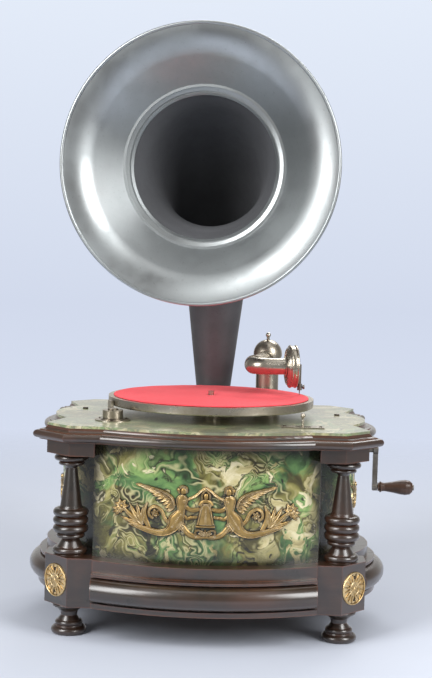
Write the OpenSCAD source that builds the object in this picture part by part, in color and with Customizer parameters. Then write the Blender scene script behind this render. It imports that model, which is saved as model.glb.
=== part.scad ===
// Table-top disc phonograph with a columned, bow-sided case and an elbow horn.
// Millimetres, +Z up, front towards -Y, standing on the floor at Z = 0.

/* [Case plan] */
// Half width of the case, at the outer ends of the corner chamfers
case_half_w = 186; // [170:1:200]
// Half depth of the case, at the inner ends of the corner chamfers
case_half_d = 140; // [128:1:155]
// Corner chamfer, measured along each side
corner_chamfer = 29; // [22:1:36]
// Half width of the front bow, where it meets the corner
front_bow_half = 118; // [108:1:126]
// How far the front and back bows swell out
front_bow_rise = 25; // [16:1:32]
// Half length of each side bow, where it meets the corner
side_bow_half = 62; // [54:1:68]
// Inset of the side cusps from the corner
side_cusp_inset = 16; // [8:1:20]
// How far the side bows swell out
side_bow_rise = 20; // [14:1:26]

/* [Case heights] */
// Height of the turned feet
foot_h = 36; // [26:1:46]
// Height of the base corner blocks
base_block_h = 57; // [48:1:66]
// Height of the turned columns
column_h = 117; // [100:1:130]
// Height of the blocks over the columns
top_block_h = 16; // [10:1:22]
// Thickness of the moulded top board
slab_t = 16; // [14:1:20]
// Thickness of the marbled sheet on the top board
sheet_t = 3; // [2:0.5:5]
// Thickness of the bottom board
bottom_board_t = 8; // [6:1:12]

/* [Case walls] */
// Inset of the panels behind the edge of the top sheet
panel_inset = 10; // [8:1:14]
// Thickness of the bowed panels
panel_t = 8; // [6:0.5:10]
// Length of the corner blocks along each side
block_len = 58; // [52:1:64]
// Swell of the big roll of the plinth past the edge of the top sheet
plinth_swell = 29; // [22:1:32]
// Radius of the big roll of the plinth
plinth_roll_r = 13; // [10:0.5:14]
// Radius of the rounded edge of the top board
slab_roll_r = 4.5; // [3.5:0.25:5]
// Reach of the rounded edge of the top board past the sheet
slab_reach = 14; // [11:0.5:17]

/* [Turned work] */
// Inset of each column from both sides of its corner
column_inset = 29; // [27:1:33]
// Largest radius of a column
column_r = 20.5; // [17:0.5:22]
// Radius of the column shaft below its cap
shaft_r = 6.5; // [5:0.5:9]
// Largest radius of a foot
foot_r = 20.5; // [17:0.5:22]
// Radius of the rosettes on the corner chamfers
rosette_r = 19.5; // [15:0.5:20]
// Thickness of a rosette
rosette_t = 2.6; // [2:0.2:4]

/* [Gilt mounts] */
// Half length of the front mount
mount_half = 108; // [90:1:112]
// Thickness of the mounts
mount_t = 3.5; // [2.5:0.5:5]
// Size of a side mount as a share of the front one
side_mount_share = 0.5; // [0.4:0.05:0.55]

/* [Turntable] */
// Radius of the turntable
turntable_r = 127; // [120:1:128]
// Distance of the spindle behind the middle of the case
spindle_back = 12; // [8:1:14]
// Height of the turntable rim
rim_h = 10; // [8:0.5:13]
// Gap between the top sheet and the rim
rim_gap = 12; // [11:0.5:16]
// Thickness of the turntable plate
platter_t = 3; // [2.5:0.5:5]
// Radius of the felt mat
felt_r = 121; // [112:1:122]
// Thickness of the felt mat
felt_t = 1.6; // [1.2:0.2:3]
// Radius of the spindle
spindle_r = 3.6; // [3.2:0.1:4]
// Height of the spindle over the mat
spindle_stand = 5; // [4:0.5:12]

/* [Horn] */
// Radius of the bell at its rim
bell_r = 166; // [150:1:175]
// Step from the mouth of the elbow out to the back end of the flare
flare_step = 9; // [7:0.5:11]
// Height of the bell axis over the top sheet
bell_axis_h = 304; // [290:1:330]
// Distance of the bell rim in front of the neck axis
horn_reach = 225; // [220:1:240]
// Turn of the bell to the left at rest, in degrees
horn_turn = 5.3; // [0:0.1:8]
// Radius of the bend of the elbow
elbow_bend = 120; // [112:1:124]
// Radius of the mouth of the elbow inside the bell
throat_r = 91; // [86:1:92]
// Radius of the neck at its foot
neck_r = 21.5; // [19:0.5:23]
// Growth of the neck radius per millimetre of height
neck_growth = 0.1184; // [0.1:0.005:0.13]
// Thickness of the sheet metal
horn_t = 1.2; // [1:0.1:2]
// Gap between the turntable and the socket of the horn
socket_gap = 2.5; // [2:0.5:8]
// Radius of the socket around the foot of the horn
socket_r = 26.5; // [26:0.5:27]
// Height of the socket over the top sheet
socket_h = 14; // [11:1:14]
// Length of the foot of the horn inside the socket
ferrule_seat = 9; // [7:1:10]

/* [Tone arm] */
// Place of the tone arm post to the right of the spindle
post_x = 72; // [70:1:76]
// Distance of the tone arm post outside the turntable
post_out = 19; // [18.5:0.5:22]
// Radius of the post
post_r = 15; // [13:0.5:15.5]
// Height of the post over the top sheet
post_h = 44; // [40:1:48]
// Radius of the dome on the post
dome_r = 19; // [17:0.5:20]
// Height of the arm tube over the top sheet
arm_h = 60; // [58:1:64]
// Radius of the arm tube
arm_r = 10.5; // [9:0.5:11.5]
// Wall of the arm tube
arm_wall = 1.4; // [1:0.2:2]
// Length of the arm from the post to its front bend
arm_len = 112; // [106:1:116]
// Lean of the arm to the left at rest, in degrees
arm_lean = 12; // [9:0.5:14]
// Radius of the front bend
goose_bend = 14; // [12:0.5:16]
// Length of the straight end behind the sound box
goose_end = 24; // [20:1:28]
// Turn of the front bend, in degrees
goose_angle = 110; // [95:1:115]
// Radius of the sound box
sound_box_r = 27; // [24:0.5:28]
// Depth of the sound box
sound_box_t = 15; // [12:0.5:18]

/* [Crank] */
// Distance of the winding shaft behind the middle of the case
crank_back = 55; // [52:1:58]
// Depth of the winding shaft under the top board
crank_drop = 26; // [25:0.5:28]
// Radius of the winding shaft
crank_shaft_r = 4; // [3.5:0.25:4.5]
// Length of the crank arm
crank_len = 48; // [40:1:52]
// Distance of the crank arm outside the side bow
crank_out = 18; // [17:1:24]
// Thickness of the crank arm
crank_arm_t = 6; // [5:0.5:8]
// Length of the wooden grip
grip_len = 44; // [38:1:56]
// Largest radius of the grip
grip_r = 9.6; // [8:0.2:11]
// Radius of the pin in the grip
grip_pin_r = 2.6; // [2:0.1:3]

/* [Motor] */
// Gear module of the spring motor as a share of the half width of the case
gear_share = 0.007; // [0.0067:0.0001:0.0071]
// Teeth of the barrel wheel
barrel_teeth = 72; // [72]
// Teeth of the second pinion, which the barrel drives
second_pinion_teeth = 12; // [12]
// Teeth of the second wheel
second_teeth = 48; // [48]
// Teeth of the spindle pinion
spindle_teeth = 16; // [16]
// Teeth of the wheel that drives the governor
governor_wheel_teeth = 48; // [48]
// Teeth of the governor pinion
governor_teeth = 12; // [12]
// Teeth of the winding pinion
winding_teeth = 16; // [16]
// Teeth of the crown wheel on the barrel arbor
crown_teeth = 48; // [48]
// Radius of the spring barrel
barrel_r = 40; // [34:1:42]
// Height of the spring barrel
barrel_h = 34; // [28:1:36]
// Place of the barrel to the right of the middle as a share of the half width of the case
barrel_share = 0.43; // [0.42:0.005:0.44]
// Thickness of the motor plates
plate_t = 3; // [2.5:0.25:4]
// Radius of the arbors
arbor_r = 3; // [2.5:0.25:3.5]

/* [Controls] */
// Place of the brake to the left of the middle
brake_x = 114; // [112:1:118]
// Distance of the brake in front of the middle
brake_front = 76; // [74:1:80]
// Radius of the brake flange
brake_flange_r = 21; // [18:1:22]
// Radius of the brake drum
brake_drum_r = 12; // [10:0.5:12.5]
// Length of the brake arm
brake_arm = 40; // [38:1:42]
// Place of the speed plate to the right of the middle
speed_x = 109; // [104:1:112]
// Distance of the speed plate in front of the middle
speed_front = 98; // [96:1:102]
// Length of the speed plate
speed_plate_len = 50; // [44:1:56]
// Width of the speed plate
speed_plate_w = 18; // [14:1:20]
// Travel of the speed lever
speed_travel = 14; // [8:1:16]

/* [Clearances] */
// Radial play of a shaft in its bearing
run_play = 0.06; // [0.03:0.01:0.1]
// Free gap between pieces that pass each other
free_gap = 0.4; // [0.3:0.05:0.8]

/* [Hidden] */
$fn = 96;
CORNERS = [["front_left", -1, -1], ["front_right", 1, -1], ["back_left", -1, 1], ["back_right", 1, 1]];
SIDES = ["front", "back", "left", "right"];

// Levels
block_top_z = foot_h + base_block_h;
column_top_z = block_top_z + column_h;
slab_z = column_top_z + top_block_h;
sheet_z = slab_z + slab_t;
deck_z = sheet_z + sheet_t;
rim_z = deck_z + rim_gap;
felt_z = rim_z + rim_h;
mat_top_z = felt_z + felt_t;
bell_z = deck_z + bell_axis_h;
arm_z = deck_z + arm_h;
crank_z = slab_z - crank_drop;

// Plan of the case
function bow_radius(half, rise) = (half * half + rise * rise) / (2 * rise);
front_r = bow_radius(front_bow_half, front_bow_rise);
front_edge = case_half_d + front_bow_rise;
front_centre = front_edge - front_r;
side_cusp_x = case_half_w - side_cusp_inset;
side_r = bow_radius(side_bow_half, side_bow_rise);
side_edge = side_cusp_x + side_bow_rise;
side_centre = side_edge - side_r;
column_x = case_half_w - column_inset;
column_y = case_half_d - column_inset;
foot_skirt = 4;
bearing_r = 8;
slab_fillet = 1.5;
bush_r = 9;
wall_depth = panel_inset + panel_t + 6;
block_in_x = case_half_w - block_len;
block_in_y = case_half_d - block_len;
front_over = 5;
side_over = 12;
far = 600;
front_half_angle = asin(front_bow_half / front_r);
side_half_angle = asin(side_bow_half / side_r);
mitre_gap = 0.02;
mitre_out = 3 * slab_reach;

// Bowed panels: the front and back ones end short of the columns, the side ones wrap by a share of their bows
front_end_gap = 27.20255;
side_wrap = 1.64;
panel_front_r = front_r - panel_inset;
panel_side_r = side_r - panel_inset;
panel_front_half = asin((column_x - front_end_gap) / panel_front_r);
panel_side_half = side_wrap * side_half_angle;
panel_h = slab_z - block_top_z;
mount_rise = 0.46;
mount_z = block_top_z + mount_rise * panel_h;

// Horn path
flare_lip = 4;
flare_end_r = throat_r + flare_step;
flare_turn = 46;
cone_share = 0.45;
cone_out = cone_share * (bell_r - flare_end_r);
flare_r = (bell_r + flare_lip - flare_end_r - cone_out) / sin(flare_turn);
flare_deep = flare_r * (1 - cos(flare_turn)) + cone_out * tan(flare_turn);
collar_len = 18;
throat_back = flare_deep + collar_len;
neck_back = spindle_back + turntable_r + socket_r + socket_gap;
post_back = spindle_back + sqrt(pow(turntable_r + post_out, 2) - pow(post_x, 2));
elbow_straight = horn_reach - throat_back - elbow_bend;
bend_z = bell_z - elbow_bend;
ferrule_z = deck_z + socket_h - ferrule_seat;
neck_len = bend_z - ferrule_z;
neck_top_r = neck_r + neck_growth * neck_len;
bend_len = elbow_bend * PI / 2;
upper_len = bend_len + elbow_straight;
upper_curve = (throat_r - neck_top_r - neck_growth * upper_len) / (upper_len * upper_len);
HORN_RINGS = 26;
FLARE_STEPS = 16;
HORN_SIDES = 40;
curl_steps = 10;

// Motor layout
gear_m = gear_share * case_half_w;
barrel_x = barrel_share * case_half_w;
crank_arm_x = side_edge + crank_out;
winding_pitch_r = gear_m * winding_teeth / 2;
crown_r = gear_m * crown_teeth / 2;
tooth_up = 0.9 * gear_m;
tooth_down = 1.2 * gear_m;
spindle_pos = [0, spindle_back];
barrel_pos = [barrel_x, crank_back];
second_to_spindle = gear_m * (second_teeth + spindle_teeth) / 2;
second_to_barrel = gear_m * (barrel_teeth + second_pinion_teeth) / 2;
governor_dist = gear_m * (governor_wheel_teeth + governor_teeth) / 2;
barrel_dist = norm(barrel_pos - spindle_pos);
barrel_dir = (barrel_pos - spindle_pos) / barrel_dist;
second_along = (pow(second_to_spindle, 2) - pow(second_to_barrel, 2) + pow(barrel_dist, 2))
    / (2 * barrel_dist);
second_aside = sqrt(pow(second_to_spindle, 2) - pow(second_along, 2));
second_pos = spindle_pos + second_along * barrel_dir
    + second_aside * [barrel_dir[1], -barrel_dir[0]];
governor_pos = spindle_pos + [-governor_dist, 0];
crown_z = crank_z + winding_pitch_r;
wheel_t = 5;
wheel_gap = 3;
plate_drop = 4;
top_plate_z = slab_z - plate_drop - plate_t;
great_wheel_z = crank_z - winding_pitch_r - tooth_up - wheel_t - wheel_gap;
barrel_z = great_wheel_z - barrel_h;
second_wheel_z = great_wheel_z + wheel_t + 2 * wheel_gap;
bottom_plate_z = barrel_z - 2 * wheel_gap - plate_t;
governor_wheel_z = bottom_plate_z + plate_t + 4 * wheel_gap;
plate_margin = 8;
plate_over_x = [27, 38];
plate_over_y = [48, 57];
plate_left = governor_pos[0] - plate_over_x[0];
plate_right = barrel_x + plate_over_x[1];
plate_front = spindle_back - plate_over_y[0];
plate_back = crank_back + plate_over_y[1];
PILLARS = [for (x = [plate_left + plate_margin, plate_right - plate_margin],
                y = [plate_front + plate_margin, plate_back - plate_margin]) [x, y]];
pillar_r = 4;
pillar_foot_r = 6;
governor_h = 26;
ball_r = 4.2;
spring_t = 0.8;
spring_w = 4;
boss_stand = 1.5;
lug_t = 8;
crown_face = 4;
crown_t = 3;
governor_disc_r = 14;
hub_r = 12;
shaft_core_r = spindle_r + 0.6;

// Tone arm and controls layout
cup_h = socket_h;
post_bore_r = post_r - 4;
bend_y = arm_len - goose_bend;
joint_y = bend_y - 8;
tube_bore_r = arm_r - arm_wall;
goose_step = 0.2;
goose_lap = 1.5;
spigot = 12;
collar_w = 4;
cuff = 1.5;
goose_tip = [goose_bend * (1 - cos(goose_angle)) + goose_end * sin(goose_angle),
             -bend_y - goose_bend * sin(goose_angle) - goose_end * cos(goose_angle), 0];
needle_gap = 0.4;
shoe_gap = 0.6;
shoe_t = 4;
shoe_r = turntable_r + shoe_gap + shoe_t / 2;
brake_pos = [-brake_x, -brake_front];
brake_dist = norm(brake_pos - spindle_pos);
shoe_angle = bearing(brake_pos - spindle_pos)
    - acos((pow(shoe_r, 2) + pow(brake_dist, 2) - pow(brake_arm, 2)) / (2 * shoe_r * brake_dist));
shoe_pos = spindle_pos + shoe_r * [cos(shoe_angle), sin(shoe_angle)];
cover_t = 1.2;
screw_r = 1.7;
screw_h = 0.8;
sheet_screw_in = 32;
sheet_screw_back = 18;
seat_r = socket_r - 2.2;
ferrule_wall = 1.3;
flare_back = 5;
collar_lip = 3;
collar_sleeve = 8;
bead_r = 2.2;
bead_turn = 150;
casting_r = 6.5;
casting_t = 4;
casting_wall = 2;
casting_floor = 1.2;
leg_half = 12;
leg_t = 12;
leg_foot_h = 10;
leg_drop = 36;
leg_z = slab_z - leg_drop;
leg_gap = 1;
pin_r = 4;
grip_gap = 1;
crank_eye = 2.4;
crank_arm_w = 7;
drum_top = 12;
stem_r = 1.5;
plates_top = top_plate_z + plate_t;

// The origin lies under the middle of the part's own box
grip_end_x = crank_arm_x + crank_arm_t + 3 * grip_gap + grip_len;
horn_back = max([for (i = [0:HORN_RINGS]) horn_far(i / HORN_RINGS)]);
origin_x = (grip_end_x - (side_edge + plinth_swell)) / 2;
origin_y = (horn_back - (front_edge + plinth_swell)) / 2;

// Angle of a vector in plan
function bearing(v) = atan2(v[1], v[0]);

// Outline of a spur gear with straight-sided teeth and free backlash
function gear_outline(teeth) =
    let (pitch = gear_m * teeth / 2, step = 360 / teeth)
    [for (i = [0:teeth - 1], k = [[-0.26, -1], [-0.10, 1], [0.10, 1], [0.26, -1]])
        let (r = k[1] > 0 ? pitch + tooth_up : pitch - tooth_down, a = (i + k[0]) * step)
        [r * cos(a), r * sin(a)]];

// Horn axis: place, tilt and radius at a share t of its length from the neck's foot
function horn_s(t) = t * (neck_len + upper_len);
function horn_tilt(s) = s < neck_len ? 0 : min(90, (s - neck_len) / bend_len * 90);
function horn_point(s) =
    s < neck_len ? [0, 0, ferrule_z + s] :
    s < neck_len + bend_len ?
        let (a = horn_tilt(s)) [0, elbow_bend * (cos(a) - 1), bend_z + elbow_bend * sin(a)] :
        [0, -elbow_bend - (s - neck_len - bend_len), bell_z];
function horn_radius(s) =
    s < neck_len ? neck_r + neck_growth * s :
    let (u = s - neck_len) neck_top_r + neck_growth * u + upper_curve * u * u;
function horn_ring(t, grow) =
    let (s = horn_s(t), a = horn_tilt(s), r = horn_radius(s) + grow, p = horn_point(s))
    [for (k = [0:HORN_SIDES - 1])
        let (b = 360 * k / HORN_SIDES)
        p + r * [cos(b), sin(b) * cos(a), sin(b) * sin(a)]];
function horn_far(t) =
    max([for (p = horn_ring(t, 0)) neck_back + p[1] * cos(horn_turn) - p[0] * sin(horn_turn)]);

module placed() { translate([-origin_x, -origin_y, 0]) children(); }
module flipped(c) { mirror([c[1] < 0 ? 1 : 0, 0, 0]) mirror([0, c[2] < 0 ? 1 : 0, 0]) children(); }
module at_corner(c) { placed() flipped(c) children(); }
module at_horn() { placed() translate([0, neck_back, 0]) rotate([0, 0, -horn_turn]) children(); }
module at_arm() { placed() translate([post_x, post_back, 0]) children(); }
module ring(r_out, r_in, h) {
    difference() {
        cylinder(r = r_out, h = h);
        translate([0, 0, -1]) cylinder(r = r_in, h = h + 2);
    }
}
module gear(teeth, h, turn) { rotate([0, 0, turn]) linear_extrude(h) polygon(gear_outline(teeth)); }

// Plan of the top: two pairs of bows laid over a polygon with chamfered corners
module plan_2d() {
    intersection() {
        translate([0, front_centre]) circle(front_r, $fn = 240);
        translate([0, -front_centre]) circle(front_r, $fn = 240);
        square([2 * front_bow_half, far], center = true);
    }
    intersection() {
        translate([side_centre, 0]) circle(side_r, $fn = 160);
        translate([-side_centre, -side_bow_half]) square([far, 2 * side_bow_half]);
    }
    intersection() {
        translate([-side_centre, 0]) circle(side_r, $fn = 160);
        translate([side_centre - far, -side_bow_half]) square([far, 2 * side_bow_half]);
    }
    polygon(case_outline());
}

// Straight outline of the case, through the cusps and corner chamfers
function quarter_outline() = [
    [side_cusp_x, side_bow_half], [case_half_w, case_half_d - corner_chamfer],
    [case_half_w - corner_chamfer, case_half_d], [front_bow_half, case_half_d]];
function case_outline() = concat(
    [for (p = quarter_outline()) p],
    [for (i = [3:-1:0]) let (p = quarter_outline()[i]) [-p[0], p[1]]],
    [for (p = quarter_outline()) -p],
    [for (i = [3:-1:0]) let (p = quarter_outline()[i]) [p[0], -p[1]]]);

// Outline of a corner block, in the positive quarter
function block_outline() = [
    [case_half_w - block_len, case_half_d - block_len], [case_half_w, case_half_d - block_len],
    [case_half_w, case_half_d - corner_chamfer], [case_half_w - corner_chamfer, case_half_d],
    [case_half_w - block_len, case_half_d]];

// Edge profile of the top board: fillet, rounded nose and cove; x runs outwards from the edge of the sheet
module slab_profile() {
    nose_x = slab_reach - slab_roll_r;
    nose_z = slab_roll_r + slab_fillet;
    nose_top = nose_z + slab_roll_r;
    cove_r = min(nose_x - 1, slab_t - nose_top - 1);
    square([nose_x - 2, slab_t - cove_r]);
    translate([0, slab_fillet]) square([nose_x, 2 * slab_roll_r]);
    translate([nose_x, nose_z]) circle(slab_roll_r, $fn = 48);
    difference() {
        square([cove_r, slab_t - 1]);
        translate([cove_r, slab_t - 1]) circle(cove_r - 1, $fn = 48);
    }
}

// Edge profile of the plinth: fillet, big roll, hollow and top bead; x runs outwards
module plinth_profile(depth) {
    roll_x = plinth_swell - plinth_roll_r;
    roll_z = 8 + plinth_roll_r;
    ledge_z = roll_z + plinth_roll_r + 5;
    top_z = base_block_h - foot_skirt;
    translate([-depth, 0]) square([depth + roll_x - 6, ledge_z]);
    translate([-depth, 0]) square([depth + roll_x + 2, 6]);
    translate([-depth, 8]) square([depth + roll_x, 2 * plinth_roll_r]);
    translate([roll_x, roll_z]) circle(plinth_roll_r);
    translate([-depth, ledge_z - 3]) square([depth + roll_x + 1, 3]);
    difference() {
        translate([-depth, ledge_z - 0.5]) square([depth + roll_x - 8, top_z - ledge_z + 0.5]);
        translate([roll_x - 2, ledge_z + 5]) circle(5.5);
    }
}

// A length of moulding that follows a straight edge from p, heading a
module edge_run(p, a, len) {
    translate([p[0], p[1], 0]) rotate([0, 0, a]) rotate([90, 0, -90])
        translate([0, 0, -len]) linear_extrude(2 * len) children();
}

// A bow of moulding round a centre; from is the half angle of the sweep
module bow_run(centre, heading, half_angle) {
    translate([centre[0], centre[1], 0]) rotate([0, 0, heading - half_angle])
        rotate_extrude(angle = 2 * half_angle, $fn = 240) children();
}

module front_bow(s, over) {
    bow_run([0, s * front_centre], s * 90, front_half_angle + over)
        translate([front_r, 0]) children();
}
module side_bow(s, over) {
    bow_run([s * side_centre, 0], s > 0 ? 0 : 180, side_half_angle + over)
        translate([side_r, 0]) children();
}

// Vertices of the moulding in the positive quarter, with the outward normals on either side of each
slant = [case_half_d - corner_chamfer - side_bow_half, -side_cusp_inset];
slant_normal = slant / norm(slant);
VERTICES = [
    [[front_bow_half, case_half_d], [sin(front_half_angle), cos(front_half_angle)], [0, 1]],
    [[case_half_w - corner_chamfer, case_half_d], [0, 1], [sqrt(0.5), sqrt(0.5)]],
    [[case_half_w, case_half_d - corner_chamfer], [sqrt(0.5), sqrt(0.5)], slant_normal],
    [[side_cusp_x, side_bow_half], slant_normal, [cos(side_half_angle), sin(side_half_angle)]]];

// Point on the mitre line of a vertex, d outwards, shifted by a hair along the edge
function mitre(i, d, shift) =
    let (v = VERTICES[i], b = v[1] + v[2], u = b / norm(b))
    v[0] + d * u + shift * mitre_gap * [u[1], -u[0]];

module mitre_prism(points) { translate([0, 0, -1]) linear_extrude(slab_t + 2) polygon(points); }

// Straight length of the moulding between vertex i and the next one
module straight_strip(i, heading) {
    intersection() {
        edge_run(VERTICES[i][0], heading, far) slab_profile();
        mitre_prism([mitre(i, -1, 1), mitre(i, mitre_out, 1),
                     mitre(i + 1, mitre_out, -1), mitre(i + 1, -1, -1)]);
    }
}
module front_strip(s) {
    p = [mitre(0, -1, -1), mitre(0, mitre_out, -1)];
    intersection() {
        front_bow(s, side_over) slab_profile();
        mitre_prism([for (q = [p[0], p[1], [-p[1][0], p[1][1]], [-p[0][0], p[0][1]]]) [q[0], s * q[1]]]);
    }
}
module side_strip(s) {
    p = [mitre(3, -1, 1), mitre(3, mitre_out, 1)];
    intersection() {
        side_bow(s, side_over) slab_profile();
        mitre_prism([for (q = [p[0], p[1], [p[1][0], -p[1][1]], [p[0][0], -p[0][1]]]) [s * q[0], q[1]]]);
    }
}
module top_moulding() {
    color("#3a2a24") placed() translate([0, 0, slab_z]) {
        for (s = [-1, 1]) {
            front_strip(s);
            side_strip(s);
        }
        for (c = CORNERS) flipped(c) {
            straight_strip(0, 180);
            straight_strip(1, 135);
            straight_strip(2, atan2(slant[0], -slant[1]));
        }
    }
}

module top_board() {
    color("#4a382e") placed() translate([0, 0, slab_z]) difference() {
        linear_extrude(slab_t) plan_2d();
        deck_holes();
    }
}

module top_sheet() {
    color("#7f9a68") placed() translate([0, 0, sheet_z]) difference() {
        linear_extrude(sheet_t) plan_2d();
        translate([0, 0, -slab_t]) deck_holes();
    }
}

// Holes through the top: the spindle bearing and the slot of the speed lever
module deck_holes() {
    translate([0, spindle_back, -1]) cylinder(r = bearing_r, h = slab_t + sheet_t + 2);
    translate([speed_x - speed_travel / 2 - 5, -speed_front - 4, slab_t - 6])
        cube([speed_travel + 10, 8, sheet_t + 7]);
}

// Turned piece: a core outline of [radius, height] points with rounded beads [radius, height, bead radius]
module turned(core, beads) {
    rotate_extrude() {
        polygon(concat([[0, core[0][1]]], core, [[0, core[len(core) - 1][1]]]));
        for (b = beads) translate([b[0] - b[2], b[1]]) circle(b[2], $fn = 48);
    }
}

module foot(c) {
    neck_r = foot_r * 0.46;
    color("#33251f") at_corner(c) translate([column_x, column_y, 0]) intersection() {
        turned([[foot_r - 4, 0], [foot_r - 5, 8], [foot_r - 7, 15], [neck_r, foot_h * 0.58],
                [neck_r + 1, foot_h * 0.72], [foot_r - 3, foot_h - 4], [foot_r - 3, foot_h]],
               [[foot_r, 4, 4.5], [foot_r - 4.5, 12.5, 3.2], [foot_r - 1, foot_h - 2.4, 2.2]]);
        cylinder(r = 2 * foot_r, h = foot_h);
    }
}

module base_block(c) {
    color("#3a2a24") at_corner(c) translate([0, 0, foot_h])
        linear_extrude(base_block_h) polygon(block_outline());
}

module column(c) {
    h = column_h;
    waist_r = column_r * 0.49;
    color("#33251f") at_corner(c) translate([column_x, column_y, block_top_z])
        turned([[column_r - 3, 0], [column_r - 3, 5], [waist_r, 17], [waist_r + 3, 20], [column_r - 6, 24],
                [column_r - 6, 53], [column_r - 8, 56], [shaft_r, h - 17], [shaft_r + 2, h - 13],
                [column_r - 5, h - 8], [column_r - 5, h]],
               [[column_r, 4.5, 4], [column_r - 4, 21.5, 2.6], [column_r, 29.5, 4.8], [column_r, 39, 4.8],
                [column_r, 48.5, 4.8], [column_r - 5.5, h - 11.5, 2], [column_r - 0.5, h - 5, 3]]);
}

module top_block(c) {
    color("#3a2a24") at_corner(c) translate([0, 0, column_top_z]) linear_extrude(top_block_h) difference() {
        polygon(block_outline());
        panel_core_2d();
    }
}
// Space taken by the panels and corner boards, in the positive quarter
module panel_core_2d() {
    end = front_end(panel_front_r);
    polygon([[0, 0], side_end(panel_side_r), end, [0, end[1]]]);
    intersection() {
        translate([0, front_centre]) circle(panel_front_r, $fn = 240);
        square([end[0], far]);
    }
}

module plinth() {
    color("#3a2a24") placed() translate([0, 0, foot_h + foot_skirt]) difference() {
        for (s = [-1, 1]) {
            front_bow(s, front_over) plinth_profile(wall_depth);
            side_bow(s, side_over) plinth_profile(wall_depth);
        }
        for (c = CORNERS) flipped(c) translate([block_in_x, block_in_y, -1])
            cube([far, far, base_block_h + 2]);
    }
}

// Ends of the bowed panels, in the positive quarter
function front_end(r) = [r * sin(panel_front_half), front_centre + r * cos(panel_front_half)];
function side_end(r) = [side_centre + r * cos(panel_side_half), r * sin(panel_side_half)];

module panel_strip(r, half) {
    rotate([0, 0, -half]) rotate_extrude(angle = 2 * half, $fn = 240)
        translate([r - panel_t, 0]) square([panel_t, panel_h]);
}

module panel(side) {
    s = (side == "back" || side == "right") ? 1 : -1;
    color("#6f9350") placed() translate([0, 0, block_top_z])
        if (side == "front" || side == "back")
            translate([0, s * front_centre, 0]) rotate([0, 0, s * 90])
                panel_strip(panel_front_r, panel_front_half);
        else difference() {
            translate([s * side_centre, 0, 0]) rotate([0, 0, s > 0 ? 0 : 180])
                panel_strip(panel_side_r, panel_side_half);
            if (side == "right") translate([0, crank_back, crank_z - block_top_z]) rotate([0, 90, 0])
                cylinder(r = bush_r, h = far);
        }
}

module corner_posts() {
    color("#4a382e") for (c = CORNERS) at_corner(c) translate([0, 0, block_top_z]) linear_extrude(panel_h)
        polygon([front_end(panel_front_r), side_end(panel_side_r), side_end(panel_side_r - panel_t),
                 front_end(panel_front_r - panel_t)]);
}

module bottom_board() {
    color("#5a4636") placed() translate([0, 0, block_top_z - bottom_board_t]) linear_extrude(bottom_board_t)
        plan_inner_2d();
}
// Space inside the plinth
module plan_inner_2d() {
    wedge_x = side_centre + block_in_y / tan(side_half_angle + side_over);
    intersection() {
        intersection_for (s = [-1, 1]) translate([0, s * front_centre])
            circle(front_r - wall_depth, $fn = 240);
        square([2 * block_in_x, 4 * case_half_d], center = true);
    }
    for (s = [-1, 1]) translate([s * side_centre, 0]) circle(side_r - wall_depth, $fn = 160);
    for (c = CORNERS) polygon([for (p = [[block_in_x, 0], [block_in_x, block_in_y], [wedge_x, block_in_y],
                                         [side_centre, 0]]) [c[1] * p[0], c[2] * p[1]]]);
}

// Round boss on each corner chamfer, with a raised rim and centre
module rosettes() {
    color("#c9a04e") for (c = CORNERS) at_corner(c)
        translate([case_half_w, case_half_d, foot_h + base_block_h / 2])
        translate([-corner_chamfer / 2, -corner_chamfer / 2, 0])
        rotate([0, 0, 45]) rotate([0, 90, 0]) rotate_extrude() {
            square([rosette_r, rosette_t * 0.5]);
            translate([rosette_r - rosette_t * 0.6, rosette_t * 0.5]) circle(rosette_t * 0.5, $fn = 32);
            square([rosette_r * 0.42, rosette_t]);
        }
}

// Leaf made of two arcs, pointing along +X
module leaf(len, w) {
    r = bow_radius(len / 2, w / 2);
    intersection_for (s = [-1, 1]) translate([len / 2, s * (r - w / 2)]) circle(r);
}
// Tapered limb that follows a list of points, with the given half widths at its two ends
module limb(points, from, to) {
    n = len(points) - 1;
    side = [for (i = [0:n]) let (d = points[min(n, i + 1)] - points[max(0, i - 1)]) [-d[1], d[0]] / norm(d)];
    half = [for (i = [0:n]) from + (to - from) * i / n];
    polygon(concat([for (i = [0:n]) points[i] + half[i] * side[i]],
                   [for (i = [n:-1:0]) points[i] - half[i] * side[i]]));
}
// Points along a curl of a scroll that winds inwards
function curl(centre, r_from, r_to, a_from, a_to) = [for (i = [0:curl_steps])
    let (t = i / curl_steps, a = a_from + (a_to - a_from) * t)
    centre + (r_from + (r_to - r_from) * t) * [cos(a), sin(a)]];
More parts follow.
